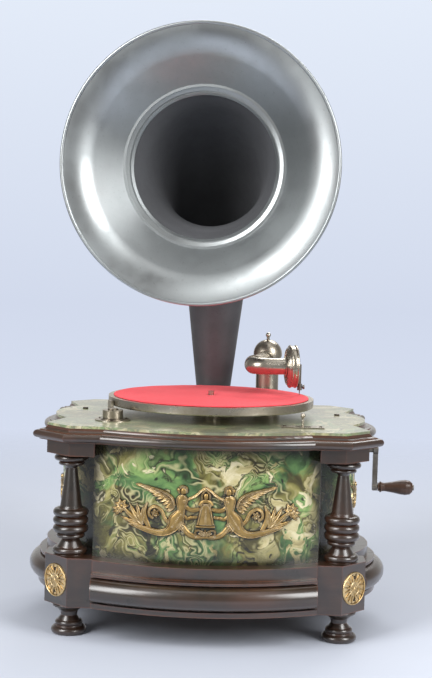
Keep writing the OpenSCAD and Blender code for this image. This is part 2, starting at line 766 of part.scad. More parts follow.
// Half of the mount, in shares of its half length: robed figure, winged figure and scrolled tail
module mount_half_2d() {
    scale(mount_half) {
        polygon([[-0.01, -0.15], [0.09, -0.15], [0.06, 0.06], [0.035, 0.13], [-0.01, 0.13]]);
        translate([0, 0.165]) circle(0.042);
        translate([-0.01, -0.26]) square([0.09, 0.12]);
        limb([[-0.01, 0.265], [0.06, 0.235], [0.13, 0.16], [0.22, 0.1]], 0.016, 0.02);
        limb([[0.05, 0.03], [0.12, 0.025], [0.2, 0.05]], 0.02, 0.03);
        limb([[0.06, -0.07], [0.12, -0.06], [0.22, 0.0]], 0.016, 0.03);
        translate([0.245, 0.205]) circle(0.045);
        limb([[0.245, 0.17], [0.26, 0.06], [0.29, -0.05], [0.32, -0.14], [0.4, -0.215], [0.5, -0.235],
              [0.6, -0.2], [0.7, -0.15], [0.8, -0.13]], 0.055, 0.02);
        for (a = [10:11:43]) translate([0.29, 0.08]) rotate(a) leaf(0.44 - a * 0.0035, 0.075);
        limb([[0.3, -0.19], [0.2, -0.245], [0.06, -0.25]], 0.03, 0.02);
        translate([0.28, -0.08]) rotate(-105) leaf(0.17, 0.09);
        limb(curl([0.51, -0.04], 0.125, 0.05, -100, 230), 0.02, 0.026);
        limb([[0.6, -0.19], [0.66, -0.1], [0.66, 0.0], [0.62, 0.08]], 0.03, 0.012);
        for (a = [-34:30:56]) translate([0.68, -0.13]) rotate(a + 20) leaf(0.25, 0.085);
        limb([[0.7, -0.14], [0.8, -0.05], [0.9, 0.0]], 0.02, 0.016);
        for (a = [-60:38:70]) translate([0.82, -0.02]) rotate(a) leaf(0.17, 0.08);
    }
}
module mount_2d() { for (m = [0, 1]) mirror([m, 0]) mount_half_2d(); }

// Mount pressed to the curve of a bow: its outline is cut out of a curved skin
module curved_mount(r, share) {
    intersection() {
        rotate([90, 0, 90]) linear_extrude(far) scale(share) mount_2d();
        translate([0, 0, -far / 2]) ring(r + mount_t, r, far);
    }
}
module front_mount() {
    color("#9a7440") placed() translate([0, -front_centre, mount_z]) rotate([0, 0, -90])
        curved_mount(panel_front_r, 1);
}
module side_mount(s) {
    color("#9a7440") placed() translate([s * side_centre, 0, mount_z]) rotate([0, 0, s > 0 ? 0 : 180])
        curved_mount(panel_side_r, side_mount_share);
}
module left_mount() { side_mount(-1); }
module right_mount() { side_mount(1); }

// Sleeve that carries the winding shaft through the right panel
module winding_bush() {
    start = side_centre + panel_side_r - panel_t - 26;
    color("#8d7340") placed() translate([start, crank_back, crank_z]) rotate([0, 90, 0]) difference() {
        union() {
            cylinder(r = bush_r, h = 30);
            translate([0, 0, 27]) cylinder(r = bush_r + 3, h = 4);
        }
        translate([0, 0, -1]) cylinder(r = crank_shaft_r + run_play, h = 40);
    }
}

// Motor: plates on pillars under the top board
module motor_plate(z) {
    translate([plate_left, plate_front, z])
        cube([plate_right - plate_left, plate_back - plate_front, plate_t]);
}
module arbor_bores(z) {
    for (p = [barrel_pos, second_pos, governor_pos]) translate([p[0], p[1], z - 1])
        cylinder(r = arbor_r + run_play, h = plate_t + 2);
}
module motor_top_plate() {
    boss_h = deck_z + boss_stand - top_plate_z;
    lug_x = plate_right + lug_t / 2;
    color("#9b9488") placed() difference() {
        union() {
            motor_plate(top_plate_z);
            translate([0, spindle_back, top_plate_z]) cylinder(r = bearing_r - free_gap, h = boss_h);
            translate([plate_right - 1, crank_back - bush_r, top_plate_z])
                cube([1.5 * lug_t + 1, 2 * bush_r, plate_t]);
            translate([lug_x, crank_back - bush_r, crank_z - bush_r])
                cube([lug_t, 2 * bush_r, top_plate_z - crank_z + bush_r + plate_t]);
        }
        arbor_bores(top_plate_z);
        translate([0, spindle_back, top_plate_z - 1]) cylinder(r = shaft_core_r + run_play, h = boss_h + 2);
        translate([lug_x - 1, crank_back, crank_z]) rotate([0, 90, 0])
            cylinder(r = crank_shaft_r + run_play, h = lug_t + 2);
    }
}
module motor_bottom_plate() {
    color("#9b9488") placed() difference() {
        motor_plate(bottom_plate_z);
        arbor_bores(bottom_plate_z);
        translate([0, spindle_back, bottom_plate_z - 1])
            cylinder(r = shaft_core_r + run_play, h = plate_t + 2);
    }
}
module motor_pillars() {
    color("#8b857a") placed() for (p = PILLARS) translate([p[0], p[1], 0]) {
        translate([0, 0, bottom_plate_z + plate_t])
            cylinder(r = pillar_r, h = top_plate_z - bottom_plate_z - plate_t);
        translate([0, 0, top_plate_z + plate_t]) cylinder(r = pillar_foot_r, h = plate_drop);
    }
}
module arbor(p, r, z_top) {
    translate([p[0], p[1], bottom_plate_z]) cylinder(r = r, h = z_top - bottom_plate_z);
}

// Tooth turn of a wheel at p that meets a wheel at q with a gap towards it
function gap_turn(p, q, teeth) = bearing(q - p) + 180 / teeth;

module spindle() {
    color("#b5aa98") placed() {
        arbor(spindle_pos, shaft_core_r, mat_top_z);
        translate([0, spindle_back, mat_top_z - 1]) cylinder(r = spindle_r, h = spindle_stand + 1);
        translate([0, spindle_back, second_wheel_z])
            gear(spindle_teeth, wheel_t, gap_turn(spindle_pos, second_pos, spindle_teeth));
        translate([0, spindle_back, governor_wheel_z])
            gear(governor_wheel_teeth, wheel_t, bearing(governor_pos - spindle_pos));
    }
}
module second_arbor() {
    color("#b09a5a") placed() {
        arbor(second_pos, arbor_r, plates_top);
        translate([second_pos[0], second_pos[1], second_wheel_z])
            gear(second_teeth, wheel_t, bearing(spindle_pos - second_pos));
        translate([second_pos[0], second_pos[1], great_wheel_z])
            gear(second_pinion_teeth, wheel_t, gap_turn(second_pos, barrel_pos, second_pinion_teeth));
    }
}
module spring_barrel() {
    color("#b09a5a") placed() translate([barrel_pos[0], barrel_pos[1], 0]) difference() {
        union() {
            translate([0, 0, barrel_z]) cylinder(r = barrel_r, h = barrel_h + 1);
            translate([0, 0, great_wheel_z]) gear(barrel_teeth, wheel_t, bearing(second_pos - barrel_pos));
        }
        translate([0, 0, barrel_z - 1]) cylinder(r = arbor_r + run_play, h = barrel_h + wheel_t + 2);
    }
}
module barrel_arbor() {
    face_z = crown_z + tooth_down;
    tooth_w = 0.3 * PI * gear_m;
    color("#8b857a") placed() {
        arbor(barrel_pos, arbor_r, plates_top);
        translate([barrel_pos[0], barrel_pos[1], 0]) {
            translate([0, 0, face_z]) cylinder(r = crown_r + crown_face, h = crown_t);
            for (i = [0:crown_teeth - 1]) rotate([0, 0, i * 360 / crown_teeth])
                translate([crown_r - crown_face, -tooth_w / 2, crown_z - tooth_up])
                cube([2 * crown_face, tooth_w, face_z - crown_z + tooth_up + 1]);
        }
    }
}
module governor() {
    low_z = governor_wheel_z + wheel_t + 4 * wheel_gap;
    color("#b09a5a") placed() translate([governor_pos[0], governor_pos[1], 0]) {
        translate([0, 0, bottom_plate_z]) cylinder(r = arbor_r, h = plates_top - bottom_plate_z);
        translate([0, 0, governor_wheel_z])
            gear(governor_teeth, wheel_t, gap_turn(governor_pos, spindle_pos, governor_teeth));
        translate([0, 0, low_z + governor_h]) cylinder(r = governor_disc_r, h = 2 * spring_t);
        translate([0, 0, low_z]) cylinder(r = arbor_r + wheel_gap, h = spring_w);
        for (a = [0, 120, 240]) rotate([0, 0, a]) {
            translate([arbor_r + wheel_gap / 2, -spring_w / 2, low_z + spring_w / 2])
                cube([spring_t, spring_w, governor_h - spring_w / 2 + spring_t]);
            translate([arbor_r + wheel_gap / 2 + spring_t + ball_r / 2, 0, low_z + governor_h / 2])
                sphere(r = ball_r, $fn = 48);
        }
    }
}
module winding_shaft() {
    pinion_t = 2 * crown_face - 1;
    start = barrel_x + crown_r - crown_face;
    color("#9b9488") placed() translate([start, crank_back, crank_z]) rotate([0, 90, 0]) {
        cylinder(r = crank_shaft_r, h = crank_arm_x - start);
        translate([0, 0, 0.5]) gear(winding_teeth, pinion_t, 180 / winding_teeth);
    }
}

// Crank, hanging down at rest
module crank_arm() {
    pin_len = crank_arm_t + grip_gap + grip_len + free_gap;
    color("#8b857a") placed() translate([crank_arm_x, crank_back, crank_z]) {
        rotate([90, 0, 90]) linear_extrude(crank_arm_t) {
            circle(crank_shaft_r + crank_eye);
            translate([0, -crank_len]) circle(grip_pin_r + crank_eye);
            translate([-crank_arm_w / 2, -crank_len]) square([crank_arm_w, crank_len]);
        }
        translate([0, 0, -crank_len]) rotate([0, 90, 0]) {
            cylinder(r = grip_pin_r, h = pin_len + grip_gap / 2);
            translate([0, 0, pin_len]) cylinder(r = grip_pin_r + grip_gap, h = 2 * grip_gap - free_gap);
        }
    }
}
module crank_grip() {
    l = grip_len;
    r = grip_r;
    color("#5a4337") placed()
        translate([crank_arm_x + crank_arm_t + grip_gap, crank_back, crank_z - crank_len])
        rotate([0, 90, 0]) difference() {
            turned([[r * 0.55, 0], [r * 0.6, l * 0.1], [r * 0.56, l * 0.2], [r * 0.74, l * 0.45],
                    [r * 0.93, l * 0.65], [r, l * 0.8], [r * 0.92, l * 0.92], [r * 0.62, l]],
                   [[r * 0.72, l * 0.08, r * 0.14]]);
            translate([0, 0, -1]) cylinder(r = grip_pin_r + run_play, h = l + 2);
        }
}

// Turntable
module platter() {
    hub_z = deck_z + boss_stand + free_gap;
    color("#b5aa98") placed() translate([0, spindle_back, 0]) difference() {
        union() {
            translate([0, 0, felt_z - platter_t]) cylinder(r = turntable_r - 1, h = platter_t, $fn = 180);
            translate([0, 0, rim_z]) rotate_extrude($fn = 180) {
                translate([turntable_r - 4, 0]) square([2.4, rim_h]);
                translate([turntable_r - 4, 1.5]) square([4, rim_h - 1.5]);
                translate([turntable_r - 2, 1.6]) circle(1.6, $fn = 32);
            }
            translate([0, 0, hub_z]) cylinder(r = hub_r, h = felt_z - hub_z);
        }
        translate([0, 0, deck_z]) cylinder(r = shaft_core_r, h = felt_z - deck_z + 1);
    }
}
module felt_mat() {
    color("#ec646c") placed() translate([0, spindle_back, felt_z]) difference() {
        cylinder(r = felt_r, h = felt_t, $fn = 180);
        translate([0, 0, -1]) cylinder(r = shaft_core_r, h = felt_t + 2);
    }
}

// Bar of plan between two points
module bar_2d(p, q, w) {
    translate(p) rotate(bearing(q - p)) translate([0, -w / 2]) square([norm(q - p), w]);
}

// Casting on the top that joins the tone arm post to the horn socket, with a leg down the back
module sound_casting() {
    post = [post_x, post_back];
    neck = [0, neck_back];
    leg_y = front_edge + slab_reach + leg_gap;
    color("#a89c8a") placed() difference() {
        union() {
            translate([0, 0, deck_z]) linear_extrude(casting_t)
                bar_2d(post, neck, 2 * (casting_r + casting_t));
            translate([post_x, post_back, deck_z]) cylinder(r = post_r + casting_wall, h = cup_h);
            translate([0, neck_back, deck_z]) cylinder(r = socket_r, h = socket_h);
            translate([post_x, post_back, deck_z + casting_r]) rotate([0, 90, bearing(neck - post)])
                cylinder(r = casting_r, h = norm(neck - post));
            translate([-leg_half, neck_back, deck_z])
                cube([2 * leg_half, leg_y + leg_t - neck_back, casting_t]);
            translate([-leg_half, leg_y, leg_z]) cube([2 * leg_half, leg_t, deck_z + casting_t - leg_z]);
            translate([-leg_half, 0, leg_z]) cube([2 * leg_half, leg_y + leg_t / 2, leg_foot_h]);
        }
        translate([0, front_centre, leg_z - 1])
            cylinder(r = panel_front_r, h = slab_z - leg_z + 1, $fn = 240);
        translate([post_x, post_back, deck_z + casting_floor])
            cylinder(r = post_bore_r - casting_wall, h = cup_h);
        translate([0, neck_back, deck_z + casting_floor]) cylinder(r = neck_r - casting_wall, h = socket_h);
        translate([0, neck_back, ferrule_z - free_gap]) cylinder(r = seat_r + run_play, h = socket_h);
        translate([post_x, post_back, deck_z + casting_r]) rotate([0, 90, bearing(neck - post)])
            cylinder(r = casting_r - casting_wall, h = norm(neck - post));
    }
}

module tone_post() {
    color("#b5aa98") at_arm() translate([0, 0, deck_z + cup_h]) {
        ring(post_r, post_bore_r, post_h - cup_h);
        ring(post_r + 1.5, post_bore_r, 3);
        translate([0, 0, post_h - cup_h - 3]) ring(post_r + 1, post_bore_r, 3);
    }
}

// Frames of the arm tube, which runs along -Y, and of the sound box, whose axis is +X
module at_tube() { at_arm() translate([0, 0, arm_z]) rotate([0, 0, -arm_lean]) children(); }
module at_box() { at_tube() translate(goose_tip) rotate([0, 0, goose_angle - 90]) children(); }

module tone_arm() {
    head_z = deck_z + post_h + free_gap;
    dome_z = arm_z + arm_r * 0.7;
    stub = 15;
    color("#b5aa98") difference() {
        union() {
            at_arm() translate([0, 0, head_z]) cylinder(r = dome_r - 1, h = dome_z - head_z);
            at_arm() translate([0, 0, dome_z - 3]) cylinder(r = dome_r, h = 3);
            at_arm() translate([0, 0, dome_z]) intersection() {
                sphere(r = dome_r);
                cylinder(r = dome_r, h = dome_r);
            }
            at_arm() translate([0, 0, dome_z + dome_r - 1]) cylinder(r = 2, h = 5);
            at_arm() translate([0, 0, dome_z + dome_r + 6]) sphere(r = 3.4, $fn = 48);
            at_arm() translate([0, 0, head_z - stub]) cylinder(r = post_bore_r - run_play, h = stub + 1);
            at_tube() rotate([90, 0, 0]) cylinder(r = arm_r, h = joint_y);
            at_tube() translate([0, -dome_r + 1, 0]) rotate([90, 0, 0])
                cylinder(r = arm_r + cuff, h = collar_w + 1);
        }
        at_tube() rotate([90, 0, 0]) cylinder(r = tube_bore_r, h = joint_y + 1);
        at_arm() translate([0, 0, head_z - stub - 1])
            cylinder(r = post_bore_r - casting_wall, h = arm_z - head_z + stub + 1);
    }
}

// Run of the gooseneck with the given radius, from the joint to the sound box; the bend is a little wider
module goose_run(r, before, after) {
    translate([0, before - joint_y - free_gap, 0]) rotate([90, 0, 0])
        cylinder(r = r, h = bend_y - joint_y - free_gap + before + goose_lap);
    translate([goose_bend, -bend_y, 0]) rotate([0, 0, 180]) rotate_extrude(angle = goose_angle)
        translate([goose_bend, 0]) circle(r + goose_step);
    translate(goose_tip) rotate([0, 0, goose_angle - 90]) translate([-goose_end - goose_lap, 0, 0])
        rotate([0, 90, 0]) cylinder(r = r, h = goose_end + goose_lap + after);
}
module gooseneck() {
    color("#b5aa98") at_tube() difference() {
        union() {
            goose_run(arm_r - goose_step, 0, 0);
            translate([0, spigot - joint_y, 0]) rotate([90, 0, 0])
                cylinder(r = tube_bore_r - run_play, h = spigot + casting_wall);
            translate([0, -joint_y - free_gap, 0]) rotate([90, 0, 0])
                cylinder(r = arm_r + cuff, h = collar_w);
        }
        goose_run(tube_bore_r - cuff - goose_step, spigot + 1, 1);
    }
}
module sound_box() {
    r = sound_box_r;
    t = sound_box_t;
    color("#b5aa98") at_box() rotate([0, 90, 0]) rotate_extrude() {
        polygon([[0, 0], [arm_r + 2.5, 0], [arm_r + 2.5, t * 0.16], [r - 4, t * 0.24], [r - 1, t * 0.4],
                 [r - 1, t * 0.9], [r - 2, t], [r - 5, t], [r - 6, t * 0.8], [0, t * 0.8]]);
        translate([r - 1.5, t * 0.42]) circle(1.5, $fn = 32);
        translate([r - 1.5, t * 0.88]) circle(1.5, $fn = 32);
    }
}
module needle_bar() {
    t = sound_box_t;
    tip_z = mat_top_z + needle_gap - arm_z;
    chuck_z = tip_z + 6.5;
    bar_x = t + 4.5;
    color("#8b857a") at_box() {
        translate([t * 0.8, 0, 0]) rotate([0, 90, 0]) cylinder(r = 1.5, h = bar_x - t * 0.8);
        translate([bar_x - 1.5, -2, chuck_z]) cube([3, 4, 3 - chuck_z]);
        translate([bar_x, 0, chuck_z]) cylinder(r = 3, h = 8);
        translate([bar_x, 0, chuck_z + 4]) rotate([0, 90, 0]) cylinder(r = 1.2, h = 5);
        translate([bar_x + 4, 0, chuck_z + 4]) rotate([0, 90, 0]) cylinder(r = 2.8, h = 2);
        translate([bar_x, 0, tip_z]) cylinder(r1 = 0.3, r2 = 0.9, h = chuck_z - tip_z + 1);
    }
}

// Brake: a flange with a pin, and a lever whose shoe stops the turntable
module brake_base() {
    color("#b5aa98") placed() translate([-brake_x, -brake_front, deck_z]) {
        cylinder(r = brake_flange_r, h = cover_t);
        cylinder(r = brake_drum_r + 3, h = cover_t + 0.8);
        cylinder(r = pin_r, h = drum_top + 1.5);
        translate([0, 0, drum_top + free_gap]) cylinder(r = pin_r + 2, h = 1.6);
    }
}
module brake_lever() {
    drum_z = cover_t + 0.8 + free_gap;
    arm_low = drum_top - 4.4;
    color("#b5aa98") placed() difference() {
        union() {
            translate([-brake_x, -brake_front, deck_z + drum_z])
                cylinder(r = brake_drum_r, h = drum_top - drum_z);
            translate([0, 0, deck_z + arm_low]) linear_extrude(3) bar_2d(brake_pos, shoe_pos, 7);
            translate([0, spindle_back, deck_z + arm_low]) rotate([0, 0, shoe_angle])
                translate([turntable_r + shoe_gap, -6, 0]) cube([shoe_t, 12, rim_h + 1]);
        }
        translate([-brake_x, -brake_front, deck_z]) cylinder(r = pin_r + run_play, h = drum_top + 1);
    }
}

// Speed regulator: a slotted plate and a sliding knob
module speed_plate() {
    slot = speed_travel + 2 * (stem_r + free_gap);
    color("#b5aa98") placed() translate([speed_x, -speed_front, deck_z]) difference() {
        translate([-speed_plate_len / 2, -speed_plate_w / 2, 0])
            cube([speed_plate_len, speed_plate_w, cover_t]);
        translate([-slot / 2, -stem_r - free_gap, -1]) cube([slot, 2 * (stem_r + free_gap), cover_t + 2]);
    }
}
module speed_lever() {
    knob_r = 2.9;
    knob_z = 14;
    color("#b5aa98") placed() translate([speed_x, -speed_front, deck_z]) {
        translate([-4, -3, -sheet_t - 1]) cube([8, 6, sheet_t]);
        translate([0, 0, -2]) cylinder(r = stem_r, h = knob_z + 2);
        translate([0, 0, knob_z]) sphere(r = knob_r, $fn = 48);
    }
}

// Small round-headed screws of the fittings on the top
module case_screws() {
    color("#4a4038") placed() {
        for (s = [-1, 1]) {
            translate([speed_x + s * (speed_plate_len / 2 - 4), -speed_front, deck_z + cover_t])
                cylinder(r = screw_r, h = screw_h);
            translate([s * (side_edge - sheet_screw_in), spindle_back + sheet_screw_back, deck_z])
                cylinder(r = 2 * screw_r, h = 2 * screw_h);
        }
        for (a = [30, 150, 270]) translate([-brake_x, -brake_front, deck_z + cover_t]) rotate([0, 0, a])
            translate([(brake_flange_r + brake_drum_r + 3) / 2, 0, 0]) cylinder(r = screw_r, h = screw_h);
    }
}

// Horn
module horn_ferrule() {
    lip = ferrule_z - free_gap + 0.1;
    color("#b5aa98") at_horn() translate([0, 0, lip]) {
        ring(seat_r, seat_r - ferrule_wall, ferrule_seat + free_gap);
        ring(seat_r, neck_r - 2, ferrule_z - lip);
    }
}
function ring_faces(i, base, flip) = [for (k = [0:HORN_SIDES - 1], h = [0, 1])
    let (n = (k + 1) % HORN_SIDES, a = base + i * HORN_SIDES, b = a + HORN_SIDES,
         f = h == 0 ? [a + k, b + k, b + n] : [a + k, b + n, a + n])
    flip ? [f[2], f[1], f[0]] : f];
function end_faces(a, b, flip) = [for (k = [0:HORN_SIDES - 1], h = [0, 1])
    let (n = (k + 1) % HORN_SIDES, f = h == 0 ? [a + k, b + k, b + n] : [a + k, b + n, a + n])
    flip ? [f[2], f[1], f[0]] : f];
module horn_elbow() {
    inner = (HORN_RINGS + 1) * HORN_SIDES;
    last = HORN_RINGS * HORN_SIDES;
    points = [for (g = [0, -horn_t], i = [0:HORN_RINGS], p = horn_ring(i / HORN_RINGS, g)) p];
    faces = [for (i = [0:HORN_RINGS - 1], f = concat(ring_faces(i, 0, false), ring_faces(i, inner, true))) f];
    color("#4c4b4e") at_horn()
        polyhedron(points, concat(faces, end_faces(0, inner, true), end_faces(last, last + inner, false)));
}

// Frame of the bell: Z runs back from the rim along its axis
module at_bell() { at_horn() translate([0, -horn_reach, bell_z]) rotate([-90, 0, 0]) children(); }

module horn_collar() {
    back = throat_back;
    front = flare_deep + flare_back;
    band_r = flare_end_r - collar_lip;
    lip_r = throat_r + collar_lip / 2;
    color("#b5aa98") at_bell() rotate_extrude($fn = 180) {
        polygon([[throat_r - collar_lip, back - collar_lip], [throat_r - collar_lip, back],
                 [throat_r + free_gap, back], [throat_r + free_gap, back + collar_sleeve],
                 [throat_r + collar_lip, back + collar_sleeve], [flare_end_r + horn_t, back - collar_lip],
                 [flare_end_r + horn_t, front], [band_r, front], [band_r, front + collar_lip],
                 [lip_r, front + 1.5 * collar_lip], [lip_r, back - 2 * collar_lip],
                 [throat_r, back - 2 * collar_lip]]);
    }
}
module horn_bell() {
    centre = [bell_r + flare_lip, flare_r + flare_back];
    rim_turn = asin((flare_lip + bead_r) / flare_r);
    bead = [bell_r, centre[1] - flare_r * cos(asin(flare_lip / flare_r)) + horn_t / 2];
    roll = [for (i = [0:FLARE_STEPS]) bead_turn * (1 - 2 * i / FLARE_STEPS)];
    turns = [for (i = [0:FLARE_STEPS]) rim_turn + (flare_turn - rim_turn) * i / FLARE_STEPS];
    inside = [for (a = turns) centre - flare_r * [sin(a), cos(a)]];
    outside = [for (i = [FLARE_STEPS:-1:0]) centre - (flare_r - horn_t) * [sin(turns[i]), cos(turns[i])]];
    end_s = flare_deep + flare_back;
    throat_end = [[flare_end_r, end_s], [flare_end_r + horn_t / sin(flare_turn), end_s]];
    color("#c6c4c0") at_bell() rotate_extrude($fn = 180) {
        polygon(concat(inside, throat_end, outside, [for (a = roll) bead + bead_r * [cos(a), sin(a)]]));
    }
}

for (c = CORNERS) {
    foot(c);
    base_block(c);
    column(c);
    top_block(c);
}
for (s = SIDES) {
    panel(s);
}
bottom_board();
plinth();
corner_posts();
top_board();
top_moulding();
top_sheet();
rosettes();
front_mount();
left_mount();
right_mount();
winding_bush();
motor_top_plate();
motor_bottom_plate();
motor_pillars();
sound_casting();
tone_post();
brake_base();
speed_plate();
case_screws();
platter();
felt_mat();
spindle();
second_arbor();
spring_barrel();
barrel_arbor();
governor();
winding_shaft();
crank_arm();
crank_grip();
tone_arm();
gooseneck();
sound_box();
needle_bar();
brake_lever();
speed_lever();
horn_ferrule();
horn_elbow();
horn_collar();
horn_bell();
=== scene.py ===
import bpy
import bmesh
import math
from mathutils import Matrix, Vector


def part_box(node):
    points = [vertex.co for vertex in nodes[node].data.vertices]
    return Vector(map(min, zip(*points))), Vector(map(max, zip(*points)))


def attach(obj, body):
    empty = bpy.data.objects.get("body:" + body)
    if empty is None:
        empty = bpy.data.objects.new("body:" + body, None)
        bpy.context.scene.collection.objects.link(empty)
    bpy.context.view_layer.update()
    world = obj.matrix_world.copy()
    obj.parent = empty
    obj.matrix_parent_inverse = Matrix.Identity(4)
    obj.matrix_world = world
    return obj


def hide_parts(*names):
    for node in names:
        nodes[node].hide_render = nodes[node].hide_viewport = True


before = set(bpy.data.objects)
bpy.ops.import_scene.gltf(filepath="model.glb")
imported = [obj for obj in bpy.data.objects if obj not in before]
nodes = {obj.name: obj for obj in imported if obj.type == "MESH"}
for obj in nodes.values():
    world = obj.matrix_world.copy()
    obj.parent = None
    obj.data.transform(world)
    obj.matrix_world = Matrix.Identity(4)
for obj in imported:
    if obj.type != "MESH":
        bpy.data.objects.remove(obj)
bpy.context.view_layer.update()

# Millimetres in a metre of the frame
MM = 1000


def node_middle(node):
    """Middle of a CAD node's box, in millimetres of the frame."""
    low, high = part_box(node)
    return (low + high) / 2 * MM


# Places in the frame, in millimetres
CASE = node_middle("plinth")
PLATTER = node_middle("platter")
NECK = node_middle("horn_ferrule")
ARM = node_middle("tone_post")
FELT_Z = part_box("felt_mat")[0].z * MM
BOX_Z = node_middle("sound_box").z
BELL_Z = node_middle("horn_bell").z

# Column and rosette of one corner, from the middle of the case
COLUMN = node_middle("column_back_right") - CASE
ROSETTE_X, ROSETTE_Y, ROSETTE_Z = 171.5, 125.5, node_middle("rosettes").z

# Back of the sound box, from the arm's axis and before the arm is turned
BOX_X, BOX_Y = 41.3409, -102.947

# Turns at rest, in degrees
HORN_TURN, ARM_TURN, BOX_TURN = -5.3, -12.0, 20.0

# Bows of the panels, from the middle of the case: radius and middle of the front one and of the side ones
FRONT_R, FRONT_Y = 280.98, 125.98
SIDE_R, SIDE_X = 96.1, 83.9

# Mounts: height of their middle, half length and depth of the front one and of the side ones
MOUNT_Z = 154.2
FRONT_HALF, FRONT_DEPTH = 108.0, 3.2
SIDE_HALF, SIDE_DEPTH = 54.0, 3.0

# Camera: place from the middle of the case, lens and sensor in millimetres, angles in radians
CAMERA_PLACE = (27.1, -1640.2, 444.0)
LENS, SENSOR_HEIGHT = 70.92, 36
CAMERA_PAN, CAMERA_DIP, CAMERA_ROLL = 0.0139, 0.0639, 0.0263


# Points of the frame in metres, given in millimetres; z runs up from the floor
def point_from(base, x, y, z):
    """Point given from the upright axis through a base."""
    return Vector((base.x + x, base.y + y, z)) / MM


def case_point(x, y, z):
    """Point given from the middle of the case."""
    return point_from(CASE, x, y, z)


def turned(x, y, degrees):
    """Point turned about the upright axis."""
    c, s = math.cos(math.radians(degrees)), math.sin(math.radians(degrees))
    return c * x - s * y, s * x + c * y


def horn_point(x, y, z):
    """Point given from the axis of the horn's neck; the mouth is towards -Y."""
    x, y = turned(x, y, HORN_TURN)
    return point_from(NECK, x, y, z)


def box_point(h, y, z):
    """Point given from the back of the sound box: h runs along its axis, y and z across it."""
    x, y = turned(h, y, BOX_TURN)
    x, y = turned(BOX_X + x, BOX_Y + y, ARM_TURN)
    return point_from(ARM, x, y, BOX_Z + z)


def photo_camera():
    """Camera at the photograph's angle."""
    data = bpy.data.cameras.new("photo_camera")
    data.sensor_fit = "VERTICAL"
    data.sensor_height = SENSOR_HEIGHT
    data.lens = LENS
    camera = bpy.data.objects.new("photo_camera", data)
    bpy.context.collection.objects.link(camera)
    camera.matrix_world = (
        Matrix.Translation(case_point(*CAMERA_PLACE))
        @ Matrix.Rotation(CAMERA_PAN, 4, "Z")
        @ Matrix.Rotation(math.pi / 2 - CAMERA_DIP, 4, "X")
        @ Matrix.Rotation(CAMERA_ROLL, 4, "Z")
    )
    bpy.context.scene.camera = camera
    bpy.context.scene.view_settings.view_transform = "Standard"


photo_camera()

# Sockets of a colour mix
MIX_FIRST, MIX_SECOND, MIX_RESULT = 6, 7, 2


# Node helpers
def tint(code):
    """Hex colour as linear red, green, blue, alpha."""
    values = [int(code[i:i + 2], 16) / 255 for i in (1, 3, 5)]
    return [v / 12.92 if v <= 0.04045 else ((v + 0.055) / 1.055) ** 2.4 for v in values] + [1.0]


def feed(tree, value, socket):
    """Joins a socket to another, or sets it to a hex colour, a number or three numbers."""
    if isinstance(value, bpy.types.NodeSocket):
        tree.links.new(value, socket)
    elif isinstance(value, str):
        socket.default_value = tint(value)
    else:
        socket.default_value = value


def add(tree, kind, values=None, **props):
    """New node with its properties set and its inputs fed."""
    node = tree.nodes.new(kind)
    for key, value in props.items():
        setattr(node, key, value)
    for key, value in (values or {}).items():
        feed(tree, value, node.inputs[key])
    return node


def object_place(tree):
    """Place on the object."""
    return add(tree, "ShaderNodeTexCoord").outputs["Object"]


def noise(tree, place, scale, detail, roughness=0.5, distortion=0.0, output="Fac"):
    """Noise at a place; scale is a socket or a number."""
    node = add(tree, "ShaderNodeTexNoise", {
        "Vector": place, "Scale": scale, "Detail": detail, "Roughness": roughness, "Distortion": distortion})
    return node.outputs[output]


def ramp(tree, factor, stops):
    """Colour ramp; stops are (position, hex colour)."""
    node = add(tree, "ShaderNodeValToRGB", {"Fac": factor})
    bar = node.color_ramp
    while len(bar.elements) < len(stops):
        bar.elements.new(0.5)
    for element, (place, code) in zip(bar.elements, stops):
        element.position = place
        element.color = tint(code)
    return node.outputs["Color"]


def levels(tree, value, low, high, out_low=0.0, out_high=1.0):
    """Value spread from the range low..high to out_low..out_high."""
    node = add(tree, "ShaderNodeMapRange", {
        "Value": value, "From Min": low, "From Max": high, "To Min": out_low, "To Max": out_high})
    return node.outputs["Result"]


def sum_up(tree, operation, first, second=0.0, clamp=False):
    """Maths on two values; each is a socket or a number."""
    node = add(tree, "ShaderNodeMath", {0: first, 1: second}, operation=operation, use_clamp=clamp)
    return node.outputs[0]


def vector_sum(tree, operation, first, second, output=0):
    """Maths on two vectors; the second is a socket or three numbers."""
    node = add(tree, "ShaderNodeVectorMath", {0: first, 1: second}, operation=operation)
    return node.outputs[output]


def blend_colour(tree, factor, first, second, share=1.0):
    """Mix of two colours, each a socket or a hex code; share weakens the factor."""
    weakened = sum_up(tree, "MULTIPLY", factor, share)
    sockets = {"Factor": weakened, MIX_FIRST: first, MIX_SECOND: second}
    return add(tree, "ShaderNodeMix", sockets, data_type="RGBA").outputs[MIX_RESULT]


def new_group(name, inputs, outputs):
    """Empty shader group; inputs gives each input's default, outputs names the numbers that come out."""
    tree = bpy.data.node_groups.new(name, "ShaderNodeTree")
    for label, default in inputs.items():
        kind = "NodeSocketVector" if isinstance(default, tuple) else "NodeSocketFloat"
        socket = tree.interface.new_socket(label, in_out="INPUT", socket_type=kind)
        socket.default_value = default
    for label in outputs:
        tree.interface.new_socket(label, in_out="OUTPUT", socket_type="NodeSocketFloat")
    start = add(tree, "NodeGroupInput").outputs
    end = add(tree, "NodeGroupOutput").inputs
    return tree, start, end


